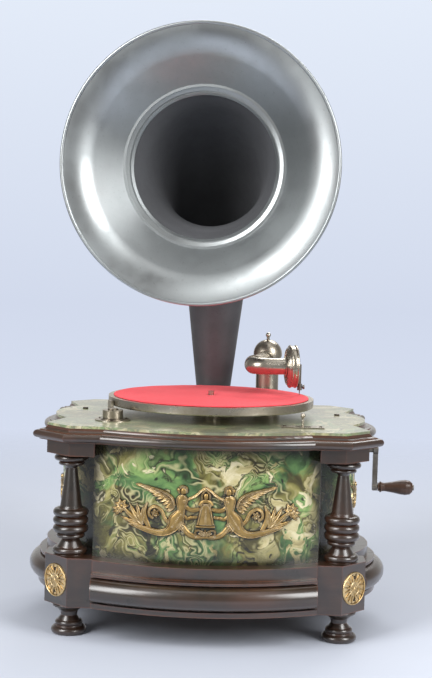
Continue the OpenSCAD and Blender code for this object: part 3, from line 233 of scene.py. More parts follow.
# Shader groups that the finishes share
def make_edge_wear_and_highlight():
    """Mask that is bright on edges, broken up by a fine noise; finishes use it for worn edges and for
    painted highlight.
    """
    defaults = {"Width": 0.002, "Strength": 3.0, "Break Up": 120.0}
    tree, start, end = new_group("edge_wear_and_highlight", defaults, ["Mask"])
    rounded = add(tree, "ShaderNodeBevel", {"Radius": start["Width"]}, samples=6).outputs["Normal"]
    plain = add(tree, "ShaderNodeNewGeometry").outputs["Normal"]
    same = vector_sum(tree, "DOT_PRODUCT", rounded, plain, "Value")
    edge = sum_up(tree, "MULTIPLY", sum_up(tree, "SUBTRACT", 1.0, same), start["Strength"])
    spots = noise(tree, object_place(tree), start["Break Up"], detail=5.0, roughness=0.65)
    mask = sum_up(tree, "MULTIPLY", edge, levels(tree, spots, 0.35, 0.65), clamp=True)
    feed(tree, mask, end["Mask"])
    return tree


def make_wood_grain():
    """Long streaks and short pores; Stretch gives the scale along each axis."""
    defaults = {"Stretch": (1.0, 1.0, 1.0), "Scale": 30.0}
    tree, start, end = new_group("wood_grain", defaults, ["Streak", "Pore"])
    stretched = vector_sum(tree, "MULTIPLY", object_place(tree), start["Stretch"])
    for label, finer, detail, low, high in (("Streak", 1.0, 6.0, 0.3, 0.7), ("Pore", 6.0, 2.0, 0.52, 0.66)):
        scale = sum_up(tree, "MULTIPLY", start["Scale"], finer)
        fibres = noise(tree, stretched, scale, detail, roughness=0.6, distortion=0.4)
        feed(tree, levels(tree, fibres, low, high), end[label])
    return tree


def make_tarnish():
    """Cloudy stains and small specks for metal and lacquer."""
    defaults = {"Cloud Scale": 18.0, "Speck Scale": 260.0}
    tree, start, end = new_group("tarnish", defaults, ["Cloud", "Speck"])
    place = object_place(tree)
    for label, low, high in (("Cloud", 0.38, 0.68), ("Speck", 0.6, 0.72)):
        stains = noise(tree, place, start[label + " Scale"], detail=6.0, roughness=0.62)
        feed(tree, levels(tree, stains, low, high), end[label])
    return tree


def make_crevice_dirt_and_shade():
    """Mask that is bright where the surface is shut in by its surroundings; finishes darken it as painted
    shade, on metal also as soiling in the hollows.
    """
    tree, start, end = new_group("crevice_dirt_and_shade", {"Reach": 0.004}, ["Mask"])
    openness = add(tree, "ShaderNodeAmbientOcclusion", {"Distance": start["Reach"]}, samples=8).outputs["AO"]
    feed(tree, levels(tree, openness, 0.85, 0.35), end["Mask"])
    return tree


def make_column_shade():
    """Mask that is bright beside the four columns, where the panels are darkened as painted shade."""
    clean_from, dark_to, ragged = 0.050, 0.031, 0.004
    tree, start, end = new_group("column_shade", {"Patch Scale": 60.0}, ["Mask"])
    place = object_place(tree)
    split = add(tree, "ShaderNodeSeparateXYZ", {0: place}).outputs
    squares = []
    for axis, case, column in (("X", CASE.x, COLUMN.x), ("Y", CASE.y, COLUMN.y)):
        from_case = sum_up(tree, "ABSOLUTE", sum_up(tree, "SUBTRACT", split[axis], case / MM))
        away = sum_up(tree, "SUBTRACT", from_case, column / MM)
        squares.append(sum_up(tree, "MULTIPLY", away, away))
    reach = sum_up(tree, "SQRT", sum_up(tree, "ADD", *squares))
    patches = noise(tree, place, start["Patch Scale"], detail=4.0)
    reach = sum_up(tree, "ADD", reach, levels(tree, patches, 0.3, 0.7, -ragged, ragged))
    feed(tree, levels(tree, reach, clean_from, dark_to), end["Mask"])
    return tree


def make_marbling():
    """Swirled paint: warped bands, contour lines that crowd together in places, pale and dark pools."""
    warp_size, line_count = 0.13, 15.0
    outputs = ["Band", "Dark Line", "Pale Line", "Pale Pool", "Dark Pool", "Olive"]
    tree, start, end = new_group("marbling", {"Scale": 11.0}, outputs)
    place = object_place(tree)
    warp = noise(tree, place, start["Scale"], detail=3.0, roughness=0.55, output="Color")
    shift = vector_sum(tree, "SUBTRACT", warp, (0.5, 0.5, 0.5))
    push = vector_sum(tree, "MULTIPLY", shift, (warp_size, warp_size, warp_size))
    moved = vector_sum(tree, "ADD", place, push)

    def swirl(finer, detail, distortion, offset):
        """Noise at the warped place; offset picks another part of it."""
        spot = vector_sum(tree, "ADD", moved, (offset, offset * 0.7, -offset))
        return noise(tree, spot, sum_up(tree, "MULTIPLY", start["Scale"], finer), detail, 0.55, distortion)

    feed(tree, levels(tree, swirl(1.3, 5.0, 1.2, 0.0), 0.3, 0.72), end["Band"])
    flow = sum_up(tree, "MULTIPLY", swirl(0.9, 2.0, 1.0, 3.1), line_count)
    crowd = levels(tree, swirl(1.1, 2.0, 0.4, 7.7), 0.4, 0.52)
    for label, width, phase in (("Dark Line", 0.2, 0.0), ("Pale Line", 0.24, 0.32)):
        wave = sum_up(tree, "PINGPONG", sum_up(tree, "ADD", flow, phase), 0.5)
        feed(tree, sum_up(tree, "MULTIPLY", levels(tree, wave, width, 0.0), crowd), end[label])
    island = swirl(1.9, 6.0, 0.8, 12.6)
    feed(tree, levels(tree, island, 0.57, 0.59), end["Pale Pool"])
    broken = levels(tree, swirl(2.6, 3.0, 0.6, 29.9), 0.47, 0.53)
    rim = sum_up(tree, "MULTIPLY", levels(tree, island, 0.53, 0.565), broken)
    dark = levels(tree, swirl(1.9, 6.0, 1.2, 17.9), 0.6, 0.64)
    feed(tree, sum_up(tree, "MAXIMUM", rim, dark), end["Dark Pool"])
    feed(tree, levels(tree, swirl(0.9, 4.0, 1.0, 23.3), 0.47, 0.55), end["Olive"])
    return tree


EDGE_WEAR_AND_HIGHLIGHT = make_edge_wear_and_highlight()
WOOD_GRAIN = make_wood_grain()
TARNISH = make_tarnish()
CREVICE_DIRT_AND_SHADE = make_crevice_dirt_and_shade()
COLUMN_SHADE = make_column_shade()
MARBLING = make_marbling()


# Materials
def use_group(tree, group, **values):
    """Outputs of a shader group; underscores in the names of values stand for spaces."""
    named = {key.replace("_", " "): value for key, value in values.items()}
    return add(tree, "ShaderNodeGroup", named, node_tree=group).outputs


def new_material(name, **values):
    """Material, its tree and the inputs of its Principled shader, with constant values set."""
    material = bpy.data.materials.new(name)
    material.use_nodes = True
    tree = material.node_tree
    shader = tree.nodes["Principled BSDF"].inputs
    for key, value in values.items():
        feed(tree, value, shader[key.replace("_", " ")])
    return material, tree, shader


def bump(tree, shader, height, strength, distance):
    """Fine unevenness of the surface."""
    node = add(tree, "ShaderNodeBump", {"Height": height, "Strength": strength, "Distance": distance})
    feed(tree, node.outputs["Normal"], shader["Normal"])


def varnished_wood(name, dark, light, worn, stretch, scale, coat):
    """Dark polished wood with a streaked grain, open pores and worn edges."""
    material, tree, shader = new_material(
        name, Coat_Roughness=0.28, Coat_Weight=coat, Coat_IOR=1.75, Specular_IOR_Level=0.2)
    grain = use_group(tree, WOOD_GRAIN, Stretch=stretch, Scale=scale)
    wear_and_highlight = use_group(tree, EDGE_WEAR_AND_HIGHLIGHT, Width=0.0032, Strength=7.0, Break_Up=60.0)
    stain = use_group(tree, TARNISH, Cloud_Scale=14.0, Speck_Scale=420.0)
    base = blend_colour(tree, grain["Streak"], dark, light)
    base = blend_colour(tree, grain["Pore"], base, dark, share=0.55)
    base = blend_colour(tree, stain["Cloud"], base, worn, share=0.2)
    base = blend_colour(tree, wear_and_highlight["Mask"], base, worn, share=0.6)
    feed(tree, base, shader["Base Color"])
    feed(tree, levels(tree, stain["Cloud"], 0.0, 1.0, 0.26, 0.42), shader["Roughness"])
    bump(tree, shader, sum_up(tree, "ADD", grain["Streak"], grain["Pore"]), strength=0.12, distance=0.0006)
    return material


GREENS = [
    (0.0, "#1c2712"), (0.18, "#35502a"), (0.4, "#527544"),
    (0.58, "#6d9152"), (0.76, "#8cab62"), (1.0, "#b4be7c")]
OLIVES = [(0.0, "#261f0f"), (0.28, "#5a5428"), (0.5, "#7f7a40"), (0.75, "#a69e60"), (1.0, "#cbc088")]
CREAMS = [(0.2, "#8f8354"), (0.45, "#c6b984"), (0.7, "#e8ddb6")]


def marbled_lacquer(name, scale, coat, gloss, painted_reflection, painted_shade):
    """Green lacquer swirled with cream, olive and brown; it can be paled all over as a painted reflection,
    and darkened in corners and beside the columns as painted shade.
    """
    material, tree, shader = new_material(name, Coat_Roughness=gloss, Coat_Weight=coat)
    swirl = use_group(tree, MARBLING, Scale=scale)
    stain = use_group(tree, TARNISH, Cloud_Scale=22.0, Speck_Scale=500.0)
    green = ramp(tree, swirl["Band"], GREENS)
    olive = ramp(tree, swirl["Band"], OLIVES)
    cream = ramp(tree, swirl["Band"], CREAMS)
    base = blend_colour(tree, swirl["Olive"], green, olive)
    base = blend_colour(tree, swirl["Dark Line"], base, "#1d190e", share=0.7)
    base = blend_colour(tree, swirl["Pale Line"], base, "#cfc592", share=0.8)
    base = blend_colour(tree, swirl["Dark Pool"], base, "#1c170d", share=0.9)
    base = blend_colour(tree, swirl["Pale Pool"], base, cream, share=0.95)
    # Painted reflection: a pale grey-green tint stands in for the glancing reflection of the pale backdrop.
    base = blend_colour(tree, levels(tree, stain["Cloud"], 0.0, 1.0, 0.6, 1.0), base, "#a9ab92", share=painted_reflection)
    # Painted shade: darker in the corners under the moulding and beside the columns.
    if painted_shade:
        crevice = use_group(tree, CREVICE_DIRT_AND_SHADE, Reach=0.11)["Mask"]
        beside = use_group(tree, COLUMN_SHADE)["Mask"]
        shade = sum_up(tree, "MAXIMUM", levels(tree, crevice, 0.0, 0.45), beside)
        base = blend_colour(tree, shade, base, "#14110a", share=painted_shade)
    feed(tree, base, shader["Base Color"])
    feed(tree, levels(tree, stain["Speck"], 0.0, 1.0, 0.2, 0.4), shader["Roughness"])
    bump(tree, shader, swirl["Band"], strength=0.06, distance=0.0006)
    return material


def worked_metal(name, bright, dull, speck, roughness, cloud, metallic=1.0, wear_and_highlight=0.0, pitted=0.15,
                 dirt_and_shade=0.0, rub_and_highlight=None):
    """Metal with cloudy tarnish and dark specks; edges lightened where worn and, with a pale edge colour, as
    painted highlight; hollows darkened by soiling and painted shade.
    """
    material, tree, shader = new_material(name, Metallic=metallic)
    stain = use_group(tree, TARNISH, Cloud_Scale=cloud, Speck_Scale=300.0)
    base = blend_colour(tree, stain["Cloud"], bright, dull)
    base = blend_colour(tree, stain["Speck"], base, speck, share=0.5)
    # Lighter edges: worn metal, and painted highlight where the edge colour is pale.
    if wear_and_highlight:
        edge = use_group(tree, EDGE_WEAR_AND_HIGHLIGHT, Width=0.0012, Strength=wear_and_highlight, Break_Up=220.0)
        base = blend_colour(tree, edge["Mask"], base, rub_and_highlight or bright)
    # Darker hollows: soiling, and painted shade from the occlusion mask.
    if dirt_and_shade:
        crevice = use_group(tree, CREVICE_DIRT_AND_SHADE, Reach=0.004)
        base = blend_colour(tree, crevice["Mask"], base, speck, share=dirt_and_shade)
    feed(tree, base, shader["Base Color"])
    dulled = levels(tree, stain["Cloud"], 0.0, 1.0, roughness - 0.07, roughness + 0.12)
    feed(tree, dulled, shader["Roughness"])
    bump(tree, shader, stain["Speck"], strength=pitted, distance=0.0003)
    return material


def matted_felt(name, dark, light, worn):
    """Felt: short matted fibres and faint worn patches."""
    material, tree, shader = new_material(
        name, Roughness=0.95, Sheen_Weight=0.08, Sheen_Roughness=0.5, Specular_IOR_Level=0.15)
    fibre = noise(tree, object_place(tree), 320.0, detail=7.0, roughness=0.8, distortion=1.5)
    stain = use_group(tree, TARNISH, Cloud_Scale=12.0, Speck_Scale=700.0)
    base = blend_colour(tree, levels(tree, fibre, 0.3, 0.7), dark, light)
    base = blend_colour(tree, stain["Cloud"], base, worn, share=0.3)
    feed(tree, base, shader["Base Color"])
    bump(tree, shader, fibre, strength=0.8, distance=0.0008)
    return material


plinth_wood = varnished_wood(
    "plinth_wood", "#17130d", "#2f251a", "#7a4328", stretch=(0.35, 0.35, 3.0), scale=40.0, coat=1.0)
column_wood = varnished_wood(
    "column_wood", "#16120d", "#2c2319", "#6b3d27", stretch=(3.0, 3.0, 0.3), scale=40.0, coat=1.0)
case_inner_wood = varnished_wood(
    "case_inner_wood", "#4a382b", "#6d543f", "#8a6b4e", stretch=(0.3, 2.5, 2.5), scale=30.0, coat=0.0)
grip_wood = varnished_wood(
    "grip_wood", "#33251e", "#5a4135", "#7d5d4a", stretch=(0.4, 4.0, 4.0), scale=60.0, coat=0.3)
# The panels get painted shade, and the deck a painted reflection.
panel_lacquer = marbled_lacquer("panel_lacquer", scale=13.0, coat=0.35, gloss=0.12, painted_reflection=0.0, painted_shade=0.9)
deck_lacquer = marbled_lacquer("deck_lacquer", scale=15.0, coat=0.8, gloss=0.32, painted_reflection=0.6, painted_shade=0.0)
turntable_felt = matted_felt("turntable_felt", "#e93a46", "#ff5f68", "#ff6a70")
# On the gilt the pale edges are partly painted highlight and the dark crevices partly painted shade.
mount_gilt = worked_metal(
    "mount_gilt", "#bfa067", "#8f7446", "#241a12",
    roughness=0.42, cloud=60.0, wear_and_highlight=9.0, pitted=0.6, dirt_and_shade=1.0, rub_and_highlight="#f4e2bf")
rosette_gilt = worked_metal(
    "rosette_gilt", "#f0d29c", "#d3b176", "#3d2c14",
    roughness=0.36, cloud=60.0, wear_and_highlight=6.0, pitted=0.3, dirt_and_shade=0.8, rub_and_highlight="#fbe7bd")
nickel_plate = worked_metal(
    "nickel_plate", "#cbc4b6", "#a09584", "#453a2f",
    roughness=0.29, cloud=24.0, wear_and_highlight=2.0, pitted=0.25, dirt_and_shade=0.6)
bell_silver = worked_metal(
    "bell_silver", "#b4b8b9", "#a4a9aa", "#8e9090", roughness=0.38, cloud=12.0, pitted=0.1)
horn_dark_metal = worked_metal(
    "horn_dark_metal", "#57575a", "#48484b", "#2f2f32", roughness=0.5, cloud=14.0, metallic=0.3)
horn_inside = worked_metal(
    "horn_inside", "#5c5d60", "#525356", "#3f4043", roughness=0.7, cloud=14.0, metallic=0.0)
crank_steel = worked_metal(
    "crank_steel", "#8f8a83", "#5e574e", "#3a2f26", roughness=0.45, cloud=40.0, wear_and_highlight=2.0)
gear_brass = worked_metal(
    "gear_brass", "#c8ab62", "#a0834a", "#5a4726", roughness=0.35, cloud=40.0, wear_and_highlight=2.0)
motor_steel = worked_metal("motor_steel", "#a5a19b", "#7d7973", "#46423c", roughness=0.4, cloud=30.0)
screw_steel = worked_metal("screw_steel", "#5a4f46", "#3d342d", "#211a15", roughness=0.5, cloud=60.0)

# Finishes of the nodes, by the start of their names
FINISHES = (
    (plinth_wood, ("plinth", "top_moulding", "top_board", "corner_posts", "base_block_", "top_block_")),
    (column_wood, ("column_", "foot_")),
    (case_inner_wood, ("bottom_board",)),
    (grip_wood, ("crank_grip",)),
    (panel_lacquer, ("panel_",)),
    (deck_lacquer, ("top_sheet",)),
    (turntable_felt, ("felt_mat",)),
    (mount_gilt, ("front_mount", "left_mount", "right_mount")),
    (rosette_gilt, ("rosettes",)),
    (bell_silver, ("horn_bell", "horn_collar")),
    (horn_dark_metal, ("horn_elbow",)),
    (crank_steel, ("winding_shaft", "crank_arm", "needle_bar")),
    (gear_brass, ("winding_bush", "second_arbor", "spring_barrel", "governor")),
    (motor_steel, ("motor_", "barrel_arbor")),
    (screw_steel, ("case_screws",)),
)


def finish_of(name):
    """Finish of a node; what isn't listed is nickel-plated."""
    for finish, starts in FINISHES:
        if name.startswith(starts):
            return finish
    return nickel_plate


for node_name, node_object in nodes.items():
    node_object.data.materials.clear()
    node_object.data.materials.append(finish_of(node_name))


# Shape helpers
def full_turn(count):
    """Evenly spaced angles round a circle."""
    return [2 * math.pi * k / count for k in range(count)]


def arc(r, s, radius, first, last, steps):
    """Points of a profile round the middle (r, s), between two angles in degrees."""
    angles = [math.radians(first + (last - first) * i / steps) for i in range(steps + 1)]
    return [(r + radius * math.cos(a), s + radius * math.sin(a)) for a in angles]


def skin(form, rings, looped=False):
    """Quads between neighbouring rings; looped joins the last ring to the first."""
    following = rings[1:] + rings[:1] if looped else rings[1:]
    for low, high in zip(rings, following):
        for k in range(len(low)):
            n = (k + 1) % len(low)
            form.faces.new((low[k], low[n], high[n], high[k]))


def revolve(form, profile, around, place, looped=True):
    """Turned shape; place gives the point at a distance along the axis and two offsets across it."""
    rings = []
    for radius, along in profile:
        ring = []
        for a in full_turn(around):
            ring.append(form.verts.new(place(along, radius * math.cos(a), radius * math.sin(a))))
        rings.append(ring)
    skin(form, rings, looped)
    return rings


def spline(points, steps):
    """Smooth path through control points."""
    ends = [points[0]] + list(points) + [points[-1]]
    path = []
    for i in range(len(points) - 1):
        a, b, c, d = (Vector(p) for p in ends[i:i + 4])
        for k in range(steps):
            t = k / steps
            path.append(0.5 * (2 * b + (c - a) * t + (2 * a - 5 * b + 4 * c - d) * t * t
                               + (3 * b - a - 3 * c + d) * t ** 3))
    return path + [Vector(points[-1])]


def taper(count, first, middle, last):
    """Values that run from first through middle to last."""
    pull = 2 * middle - (first + last) / 2
    values = []
    for i in range(count):
        t = i / (count - 1)
        values.append((1 - t) ** 2 * first + 2 * t * (1 - t) * pull + t * t * last)
    return values


def mesh_piece(name, form, finish, body, replaced, sharp=40):
    """Object made from a finished form; it rides on a body and stands for CAD nodes."""
    bmesh.ops.recalc_face_normals(form, faces=form.faces)
    shape = bpy.data.meshes.new(name)
    form.to_mesh(shape)
    form.free()
    for face in shape.polygons:
        face.use_smooth = True
    shape.set_sharp_from_angle(angle=math.radians(sharp))
    shape.materials.append(finish)
    piece = bpy.data.objects.new(name, shape)
    bpy.context.collection.objects.link(piece)
    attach(piece, body)
    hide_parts(*replaced)
    return piece


# Cast ornament
class Relief:
    """Raised work on a ground: points and widths are shares of half, heights are shares of depth."""

    # Height of the underside over the ground, in millimetres
    seat = 0.2
    # Least half width of a limb, and width of a groove as a share of its strip
    thinnest, groove_width = 0.004, 0.22
    # Facets across strips and rings, steps along leaves and bodies
    strip_facets, ring_facets = 8, 6
    leaf_steps, body_steps = 14, 6

    def __init__(self, form, ground, half=1.0, depth=1.0, side=1):
        self.form = form
        self.ground = ground
        self.half = half
        self.depth = depth
        self.side = side

    def point(self, u, v, height):
        """Point over the ground; side -1 mirrors it."""
        lift = self.seat + self.depth * height
        return self.form.verts.new(self.ground(self.side * u * self.half, v * self.half, lift))

    def strip(self, path, widths, heights, groove=0.0):
        """Closed raised strip along a path; groove cuts a line down its middle."""
        rings = []
        for i, middle in enumerate(path):
            along = (path[min(i + 1, len(path) - 1)] - path[max(i - 1, 0)]).normalized()
            across = Vector((-along.y, along.x))
            ring = []
            for k in range(self.strip_facets + 1):
                t = 2 * k / self.strip_facets - 1
                crown = math.sqrt(max(0.0, 1 - t * t)) - groove * math.exp(-(t / self.groove_width) ** 2)
                place = middle + across * (t * widths[i])
                ring.append(self.point(place.x, place.y, max(0.0, heights[i] * crown)))
            rings.append(ring)
        skin(self.form, rings)
        self.form.faces.new(rings[0])
        self.form.faces.new(list(reversed(rings[-1])))

    def limb(self, points, width, height, groove=0.0, tip=0.25, root=0.8, steps=8):
        """Tapered limb or stem through control points."""
        path = spline(points, steps)
        widths = taper(len(path), width * root, width, width * tip)
        heights = taper(len(path), height * 0.8, height, height * 0.6)
        self.strip(path, [max(self.thinnest, w) for w in widths], heights, groove)

    def leaf(self, base, angle, length, width, height, lobes=0, bend=0.0):
        """Pointed leaf or feather with a midrib groove; lobes scallop its edge."""
        path, widths, heights = [], [], []
        for i in range(self.leaf_steps + 1):
            t = i / self.leaf_steps
            turn = math.radians(angle + bend * t)
            path.append(Vector(base) + Vector((math.cos(turn), math.sin(turn))) * length * t)
            swell = max(0.06, math.sin(math.pi * min(1.0, 0.12 + 0.88 * t)) ** 0.75)
            if lobes:
                swell *= 1 - 0.28 * abs(math.sin(math.pi * lobes * t))
            widths.append(width / 2 * swell)
            heights.append(height * (0.45 + 0.55 * math.sin(math.pi * t)))
        self.strip(path, widths, heights, groove=0.4)

    def dome(self, centre, radius_u, radius_v, height, rows=6, around=20):
        """Low rounded boss."""
        rings = []
        for i in range(rows):
            rise = math.pi / 2 * i / rows
            reach_u, reach_v = radius_u * math.cos(rise), radius_v * math.cos(rise)
            ring = []
            for a in full_turn(around):
                u, v = centre[0] + reach_u * math.cos(a), centre[1] + reach_v * math.sin(a)
                ring.append(self.point(u, v, height * math.sin(rise)))
            rings.append(ring)
        top = self.point(centre[0], centre[1], height)
        skin(self.form, rings)
        last = rings[-1]
        for first, second in zip(last, last[1:] + last[:1]):
            self.form.faces.new((first, second, top))
        self.form.faces.new(list(reversed(rings[0])))

    def ring(self, radius, width, height, around=40):
        """Round bead about the middle."""
        rings = []
        for a in full_turn(around):
            ring = []
            for k in range(self.ring_facets + 1):
                t = 2 * k / self.ring_facets - 1
                reach = radius + t * width
                lift = height * math.sqrt(max(0.0, 1 - t * t))
                ring.append(self.point(reach * math.cos(a), reach * math.sin(a), lift))
            rings.append(ring)
        skin(self.form, rings, looped=True)

    def body(self, points, rim):
        """Limb whose control points are (u, v, half width, height), with a bead along both edges."""
        path = spline(points, self.body_steps)
        line = [Vector((p[0], p[1])) for p in path]
        self.strip(line, [p[2] for p in path], [p[3] for p in path])
        for side in (-1, 1):
            edge = []
            for i in range(1, len(path) - 1):
                along = (line[i + 1] - line[i - 1]).normalized()
                edge.append(line[i] + Vector((-along.y, along.x)) * side * max(0.0, path[i][2] - rim))
            self.strip(edge, [rim] * len(edge), [0.8] * len(edge))


def winged_half(relief):
    """One half of a mount: a winged figure, scrolls, and leaves that run out to the end."""
    # Ribbon that arches over the middle, arms, leg
    relief.limb([(0.0, 0.25), (0.055, 0.21), (0.11, 0.16), (0.19, 0.12)], 0.016, 0.55, groove=0.3, tip=1.0)
    relief.limb([(0.235, 0.07), (0.18, 0.022), (0.12, 0.012), (0.06, 0.026)], 0.025, 0.65, tip=0.8)
    relief.limb([(0.25, -0.02), (0.2, -0.075), (0.15, -0.068), (0.085, -0.06)], 0.02, 0.6, tip=0.8)
    relief.dome((0.145, -0.064), 0.028, 0.02, 0.75)
    leg = [(0.27, -0.08), (0.235, -0.165), (0.175, -0.24), (0.1, -0.268), (0.03, -0.27)]
    relief.limb(leg, 0.03, 0.6, groove=0.3, tip=0.8)
    # Body that runs out into a tail, head, hair, beads
    body = [
        (0.24, 0.168, 0.026, 0.7), (0.247, 0.125, 0.062, 0.85), (0.252, 0.065, 0.056, 0.85),
        (0.256, 0.005, 0.044, 0.8), (0.278, -0.05, 0.066, 0.85), (0.308, -0.105, 0.082, 0.85),
        (0.345, -0.175, 0.06, 0.75), (0.405, -0.226, 0.042, 0.65), (0.49, -0.24, 0.037, 0.6),
        (0.58, -0.224, 0.034, 0.6), (0.69, -0.196, 0.028, 0.55), (0.81, -0.17, 0.01, 0.5)]
    relief.body(body, rim=0.009)
    relief.dome((0.236, 0.21), 0.036, 0.044, 0.95)
    hair = [(0.2, 0.195), (0.205, 0.24), (0.245, 0.258), (0.278, 0.232), (0.278, 0.185)]
    relief.limb(hair, 0.016, 0.9, groove=0.3, tip=0.7)
    relief.dome((0.288, 0.222), 0.02, 0.022, 0.8)
    relief.dome((0.226, 0.105), 0.022, 0.022, 0.98)
    for i in range(9):
        relief.dome((0.262 + 0.011 * i, -0.035 - 0.017 * i), 0.013, 0.009, 0.97, rows=3, around=10)
    # Wing: two rows of feathers hung from a bent arm
    bent = [(0.325, 0.05), (0.355, 0.13), (0.43, 0.188), (0.55, 0.222), (0.68, 0.245)]
    arm = spline(bent, 6)
    for i in range(13):
        t = i / 12
        length = 0.1 + 0.045 * math.sin(math.pi * t)
        relief.leaf(arm[int(22 * t)], -50 + 54 * t, length, 0.042, 0.5, bend=6)
    for i in range(10):
        t = i / 9
        relief.leaf(arm[int(19 * t)], -34 + 42 * t, 0.075, 0.034, 0.72, bend=6)
    relief.limb(bent, 0.017, 0.85, groove=0.3, tip=0.5, root=1.0, steps=6)
    # Leaf skirt at the hip
    for angle, length in ((-160, 0.1), (-142, 0.13), (-124, 0.145), (-106, 0.125)):
        relief.leaf((0.3, -0.11), angle, length, 0.056, 0.82, lobes=3)
    # Scroll with a flower in its eye, crescent leaf
    scroll = [
        (0.385, -0.13), (0.43, -0.085), (0.462, -0.015), (0.53, 0.03),
        (0.588, -0.002), (0.592, -0.062), (0.548, -0.094)]
    relief.limb(scroll, 0.021, 0.62, groove=0.3, tip=0.8, root=1.0, steps=5)
    for k in range(6):
        relief.leaf((0.528, -0.042), 60 * k + 15, 0.05, 0.038, 0.75)
    relief.dome((0.528, -0.042), 0.016, 0.016, 0.9)
    relief.limb([(0.59, -0.2), (0.633, -0.11), (0.642, -0.02), (0.612, 0.07)], 0.027, 0.65, groove=0.3)
    # Acanthus sprays, end flower
    for angle, length in ((4, 0.25), (24, 0.26), (44, 0.26), (62, 0.23), (80, 0.19)):
        relief.leaf((0.66, -0.165), angle, length, 0.066, 0.72, lobes=4, bend=12)
    relief.limb([(0.69, -0.17), (0.78, -0.08), (0.87, -0.005)], 0.02, 0.65, tip=0.7)
    for k in range(7):
        relief.leaf((0.892, 0.008), 51 * k + 20, 0.084, 0.06, 0.72, lobes=2)
    relief.dome((0.892, 0.008), 0.026, 0.026, 0.9)
    for angle in (-48, -26, 0):
        relief.leaf((0.89, -0.02), angle, 0.108, 0.05, 0.55, lobes=3)


def robed_figure(relief):
    """Standing figure in the middle, on its pedestal, with a plain oval face."""
    robe = [(0.085, 0.05), (0.04, 0.06), (-0.05, 0.076), (-0.14, 0.094)]
    relief.body([(0.0, v, half_width, 0.75) for v, half_width in robe], rim=0.01)
    for t in (-0.5, 0.0, 0.5):
        fold = [(0.16 * t, -0.138), (0.12 * t, -0.03), (0.07 * t, 0.06)]
        relief.limb(fold, 0.009, 0.92, tip=0.7, root=1.0)
    shoulders = [(-0.066, 0.062), (-0.035, 0.1), (0.0, 0.11), (0.035, 0.1), (0.066, 0.062)]
    relief.limb(shoulders, 0.026, 0.85, tip=0.9)
    for k in range(-2, 3):
        relief.dome((0.022 * k, 0.075 - 0.004 * abs(k)), 0.011, 0.011, 1.0, rows=3, around=10)
    relief.dome((0.0, 0.16), 0.03, 0.04, 0.95)
    veil = [(0.036, 0.125), (0.04, 0.18), (0.0, 0.232)]
    scroll = [(0.095, -0.262), (0.1, -0.21), (0.06, -0.195), (0.045, -0.225), (0.066, -0.235)]
    for side in (-1, 1):
        relief.limb([(u * side, v) for u, v in veil], 0.014, 0.85, groove=0.3, tip=0.8)
        relief.limb([(u * side, v) for u, v in scroll], 0.014, 0.8, groove=0.3, tip=0.8)
    relief.limb([(-0.1, -0.158), (0.0, -0.158), (0.1, -0.158)], 0.014, 0.85, tip=1.0, root=1.0)
    relief.limb([(-0.1, -0.27), (0.0, -0.272), (0.1, -0.27)], 0.014, 0.8, tip=1.0, root=1.0)
    for k in range(5):
        relief.leaf((0.0, -0.262), 30 + 30 * k, 0.08, 0.045, 0.75, lobes=2)


def front_ground(u, v, h):
    """Point at a height over the front panel, from the middle of its mount."""
    return case_point(u, FRONT_Y - math.sqrt((FRONT_R + h) ** 2 - u * u), MOUNT_Z + v)


def side_ground(s):
    """Ground of the left panel with s = -1, or of the right one with s = 1."""
    def ground(u, v, h):
        return case_point(s * (SIDE_X + math.sqrt((SIDE_R + h) ** 2 - u * u)), u * s, MOUNT_Z + v)
    return ground


def corner_ground(sx, sy):
    """Ground on the chamfer of one corner block."""
    centre = case_point(sx * ROSETTE_X, sy * ROSETTE_Y, ROSETTE_Z)
    out = Vector((sx, sy, 0)).normalized()
    right = Vector((-out.y, out.x, 0))

    def ground(u, v, h):
        return centre + (right * u + Vector((0, 0, v)) + out * h) / MM
    return ground


def cast_mount(name, ground, half, depth, node):
    """Gilt mount: a robed figure between two winged ones."""
    form = bmesh.new()
    for s in (-1, 1):
        winged_half(Relief(form, ground, half, depth, s))
    robed_figure(Relief(form, ground, half, depth))
    mesh_piece(name, form, mount_gilt, "case", [node])


cast_mount("front_mount_relief", front_ground, FRONT_HALF, FRONT_DEPTH, "front_mount")
cast_mount("left_mount_relief", side_ground(-1), SIDE_HALF, SIDE_DEPTH, "left_mount")
cast_mount("right_mount_relief", side_ground(1), SIDE_HALF, SIDE_DEPTH, "right_mount")


def corner_rosettes():
    """Sun-like medallions on the four corner chamfers, each held by two screws."""
    middle, rays, petals, screw_v = (0, 0), 16, 8, 13.0
    form = bmesh.new()
    for sx, sy in ((-1, -1), (-1, 1), (1, -1), (1, 1)):
        relief = Relief(form, corner_ground(sx, sy))
        relief.dome(middle, 19.0, 19.0, 0.25, rows=3, around=40)
        relief.ring(18.3, 1.0, 1.7)
        relief.ring(7.6, 0.7, 1.8, around=30)
        for k in range(rays):
            relief.leaf(middle, 360 / rays * k + 11, 17.2, 3.0, 2.0)
        for k in range(petals):
            relief.leaf(middle, 360 / petals * k, 7.0, 3.6, 2.3, lobes=2)
        relief.dome(middle, 2.4, 2.4, 2.4, rows=4, around=16)
        gilt_faces = set(form.faces)
        for v in (-screw_v, screw_v):
            relief.dome((0, v), 1.8, 1.8, 2.5, rows=4, around=16)
        for face in set(form.faces) - gilt_faces:
            face.material_index = 1
    rosettes = mesh_piece("corner_rosettes", form, rosette_gilt, "case", ["rosettes"])
    rosettes.data.materials.append(screw_steel)


corner_rosettes()


# Turntable
def felt_wave(x, y):
    """Faint unevenness of the felt's top."""
    broad = 0.12 * math.sin(0.11 * x + 1.3) * math.cos(0.09 * y + 0.4)
    return broad + 0.05 * math.sin(0.31 * x - 0.27 * y)


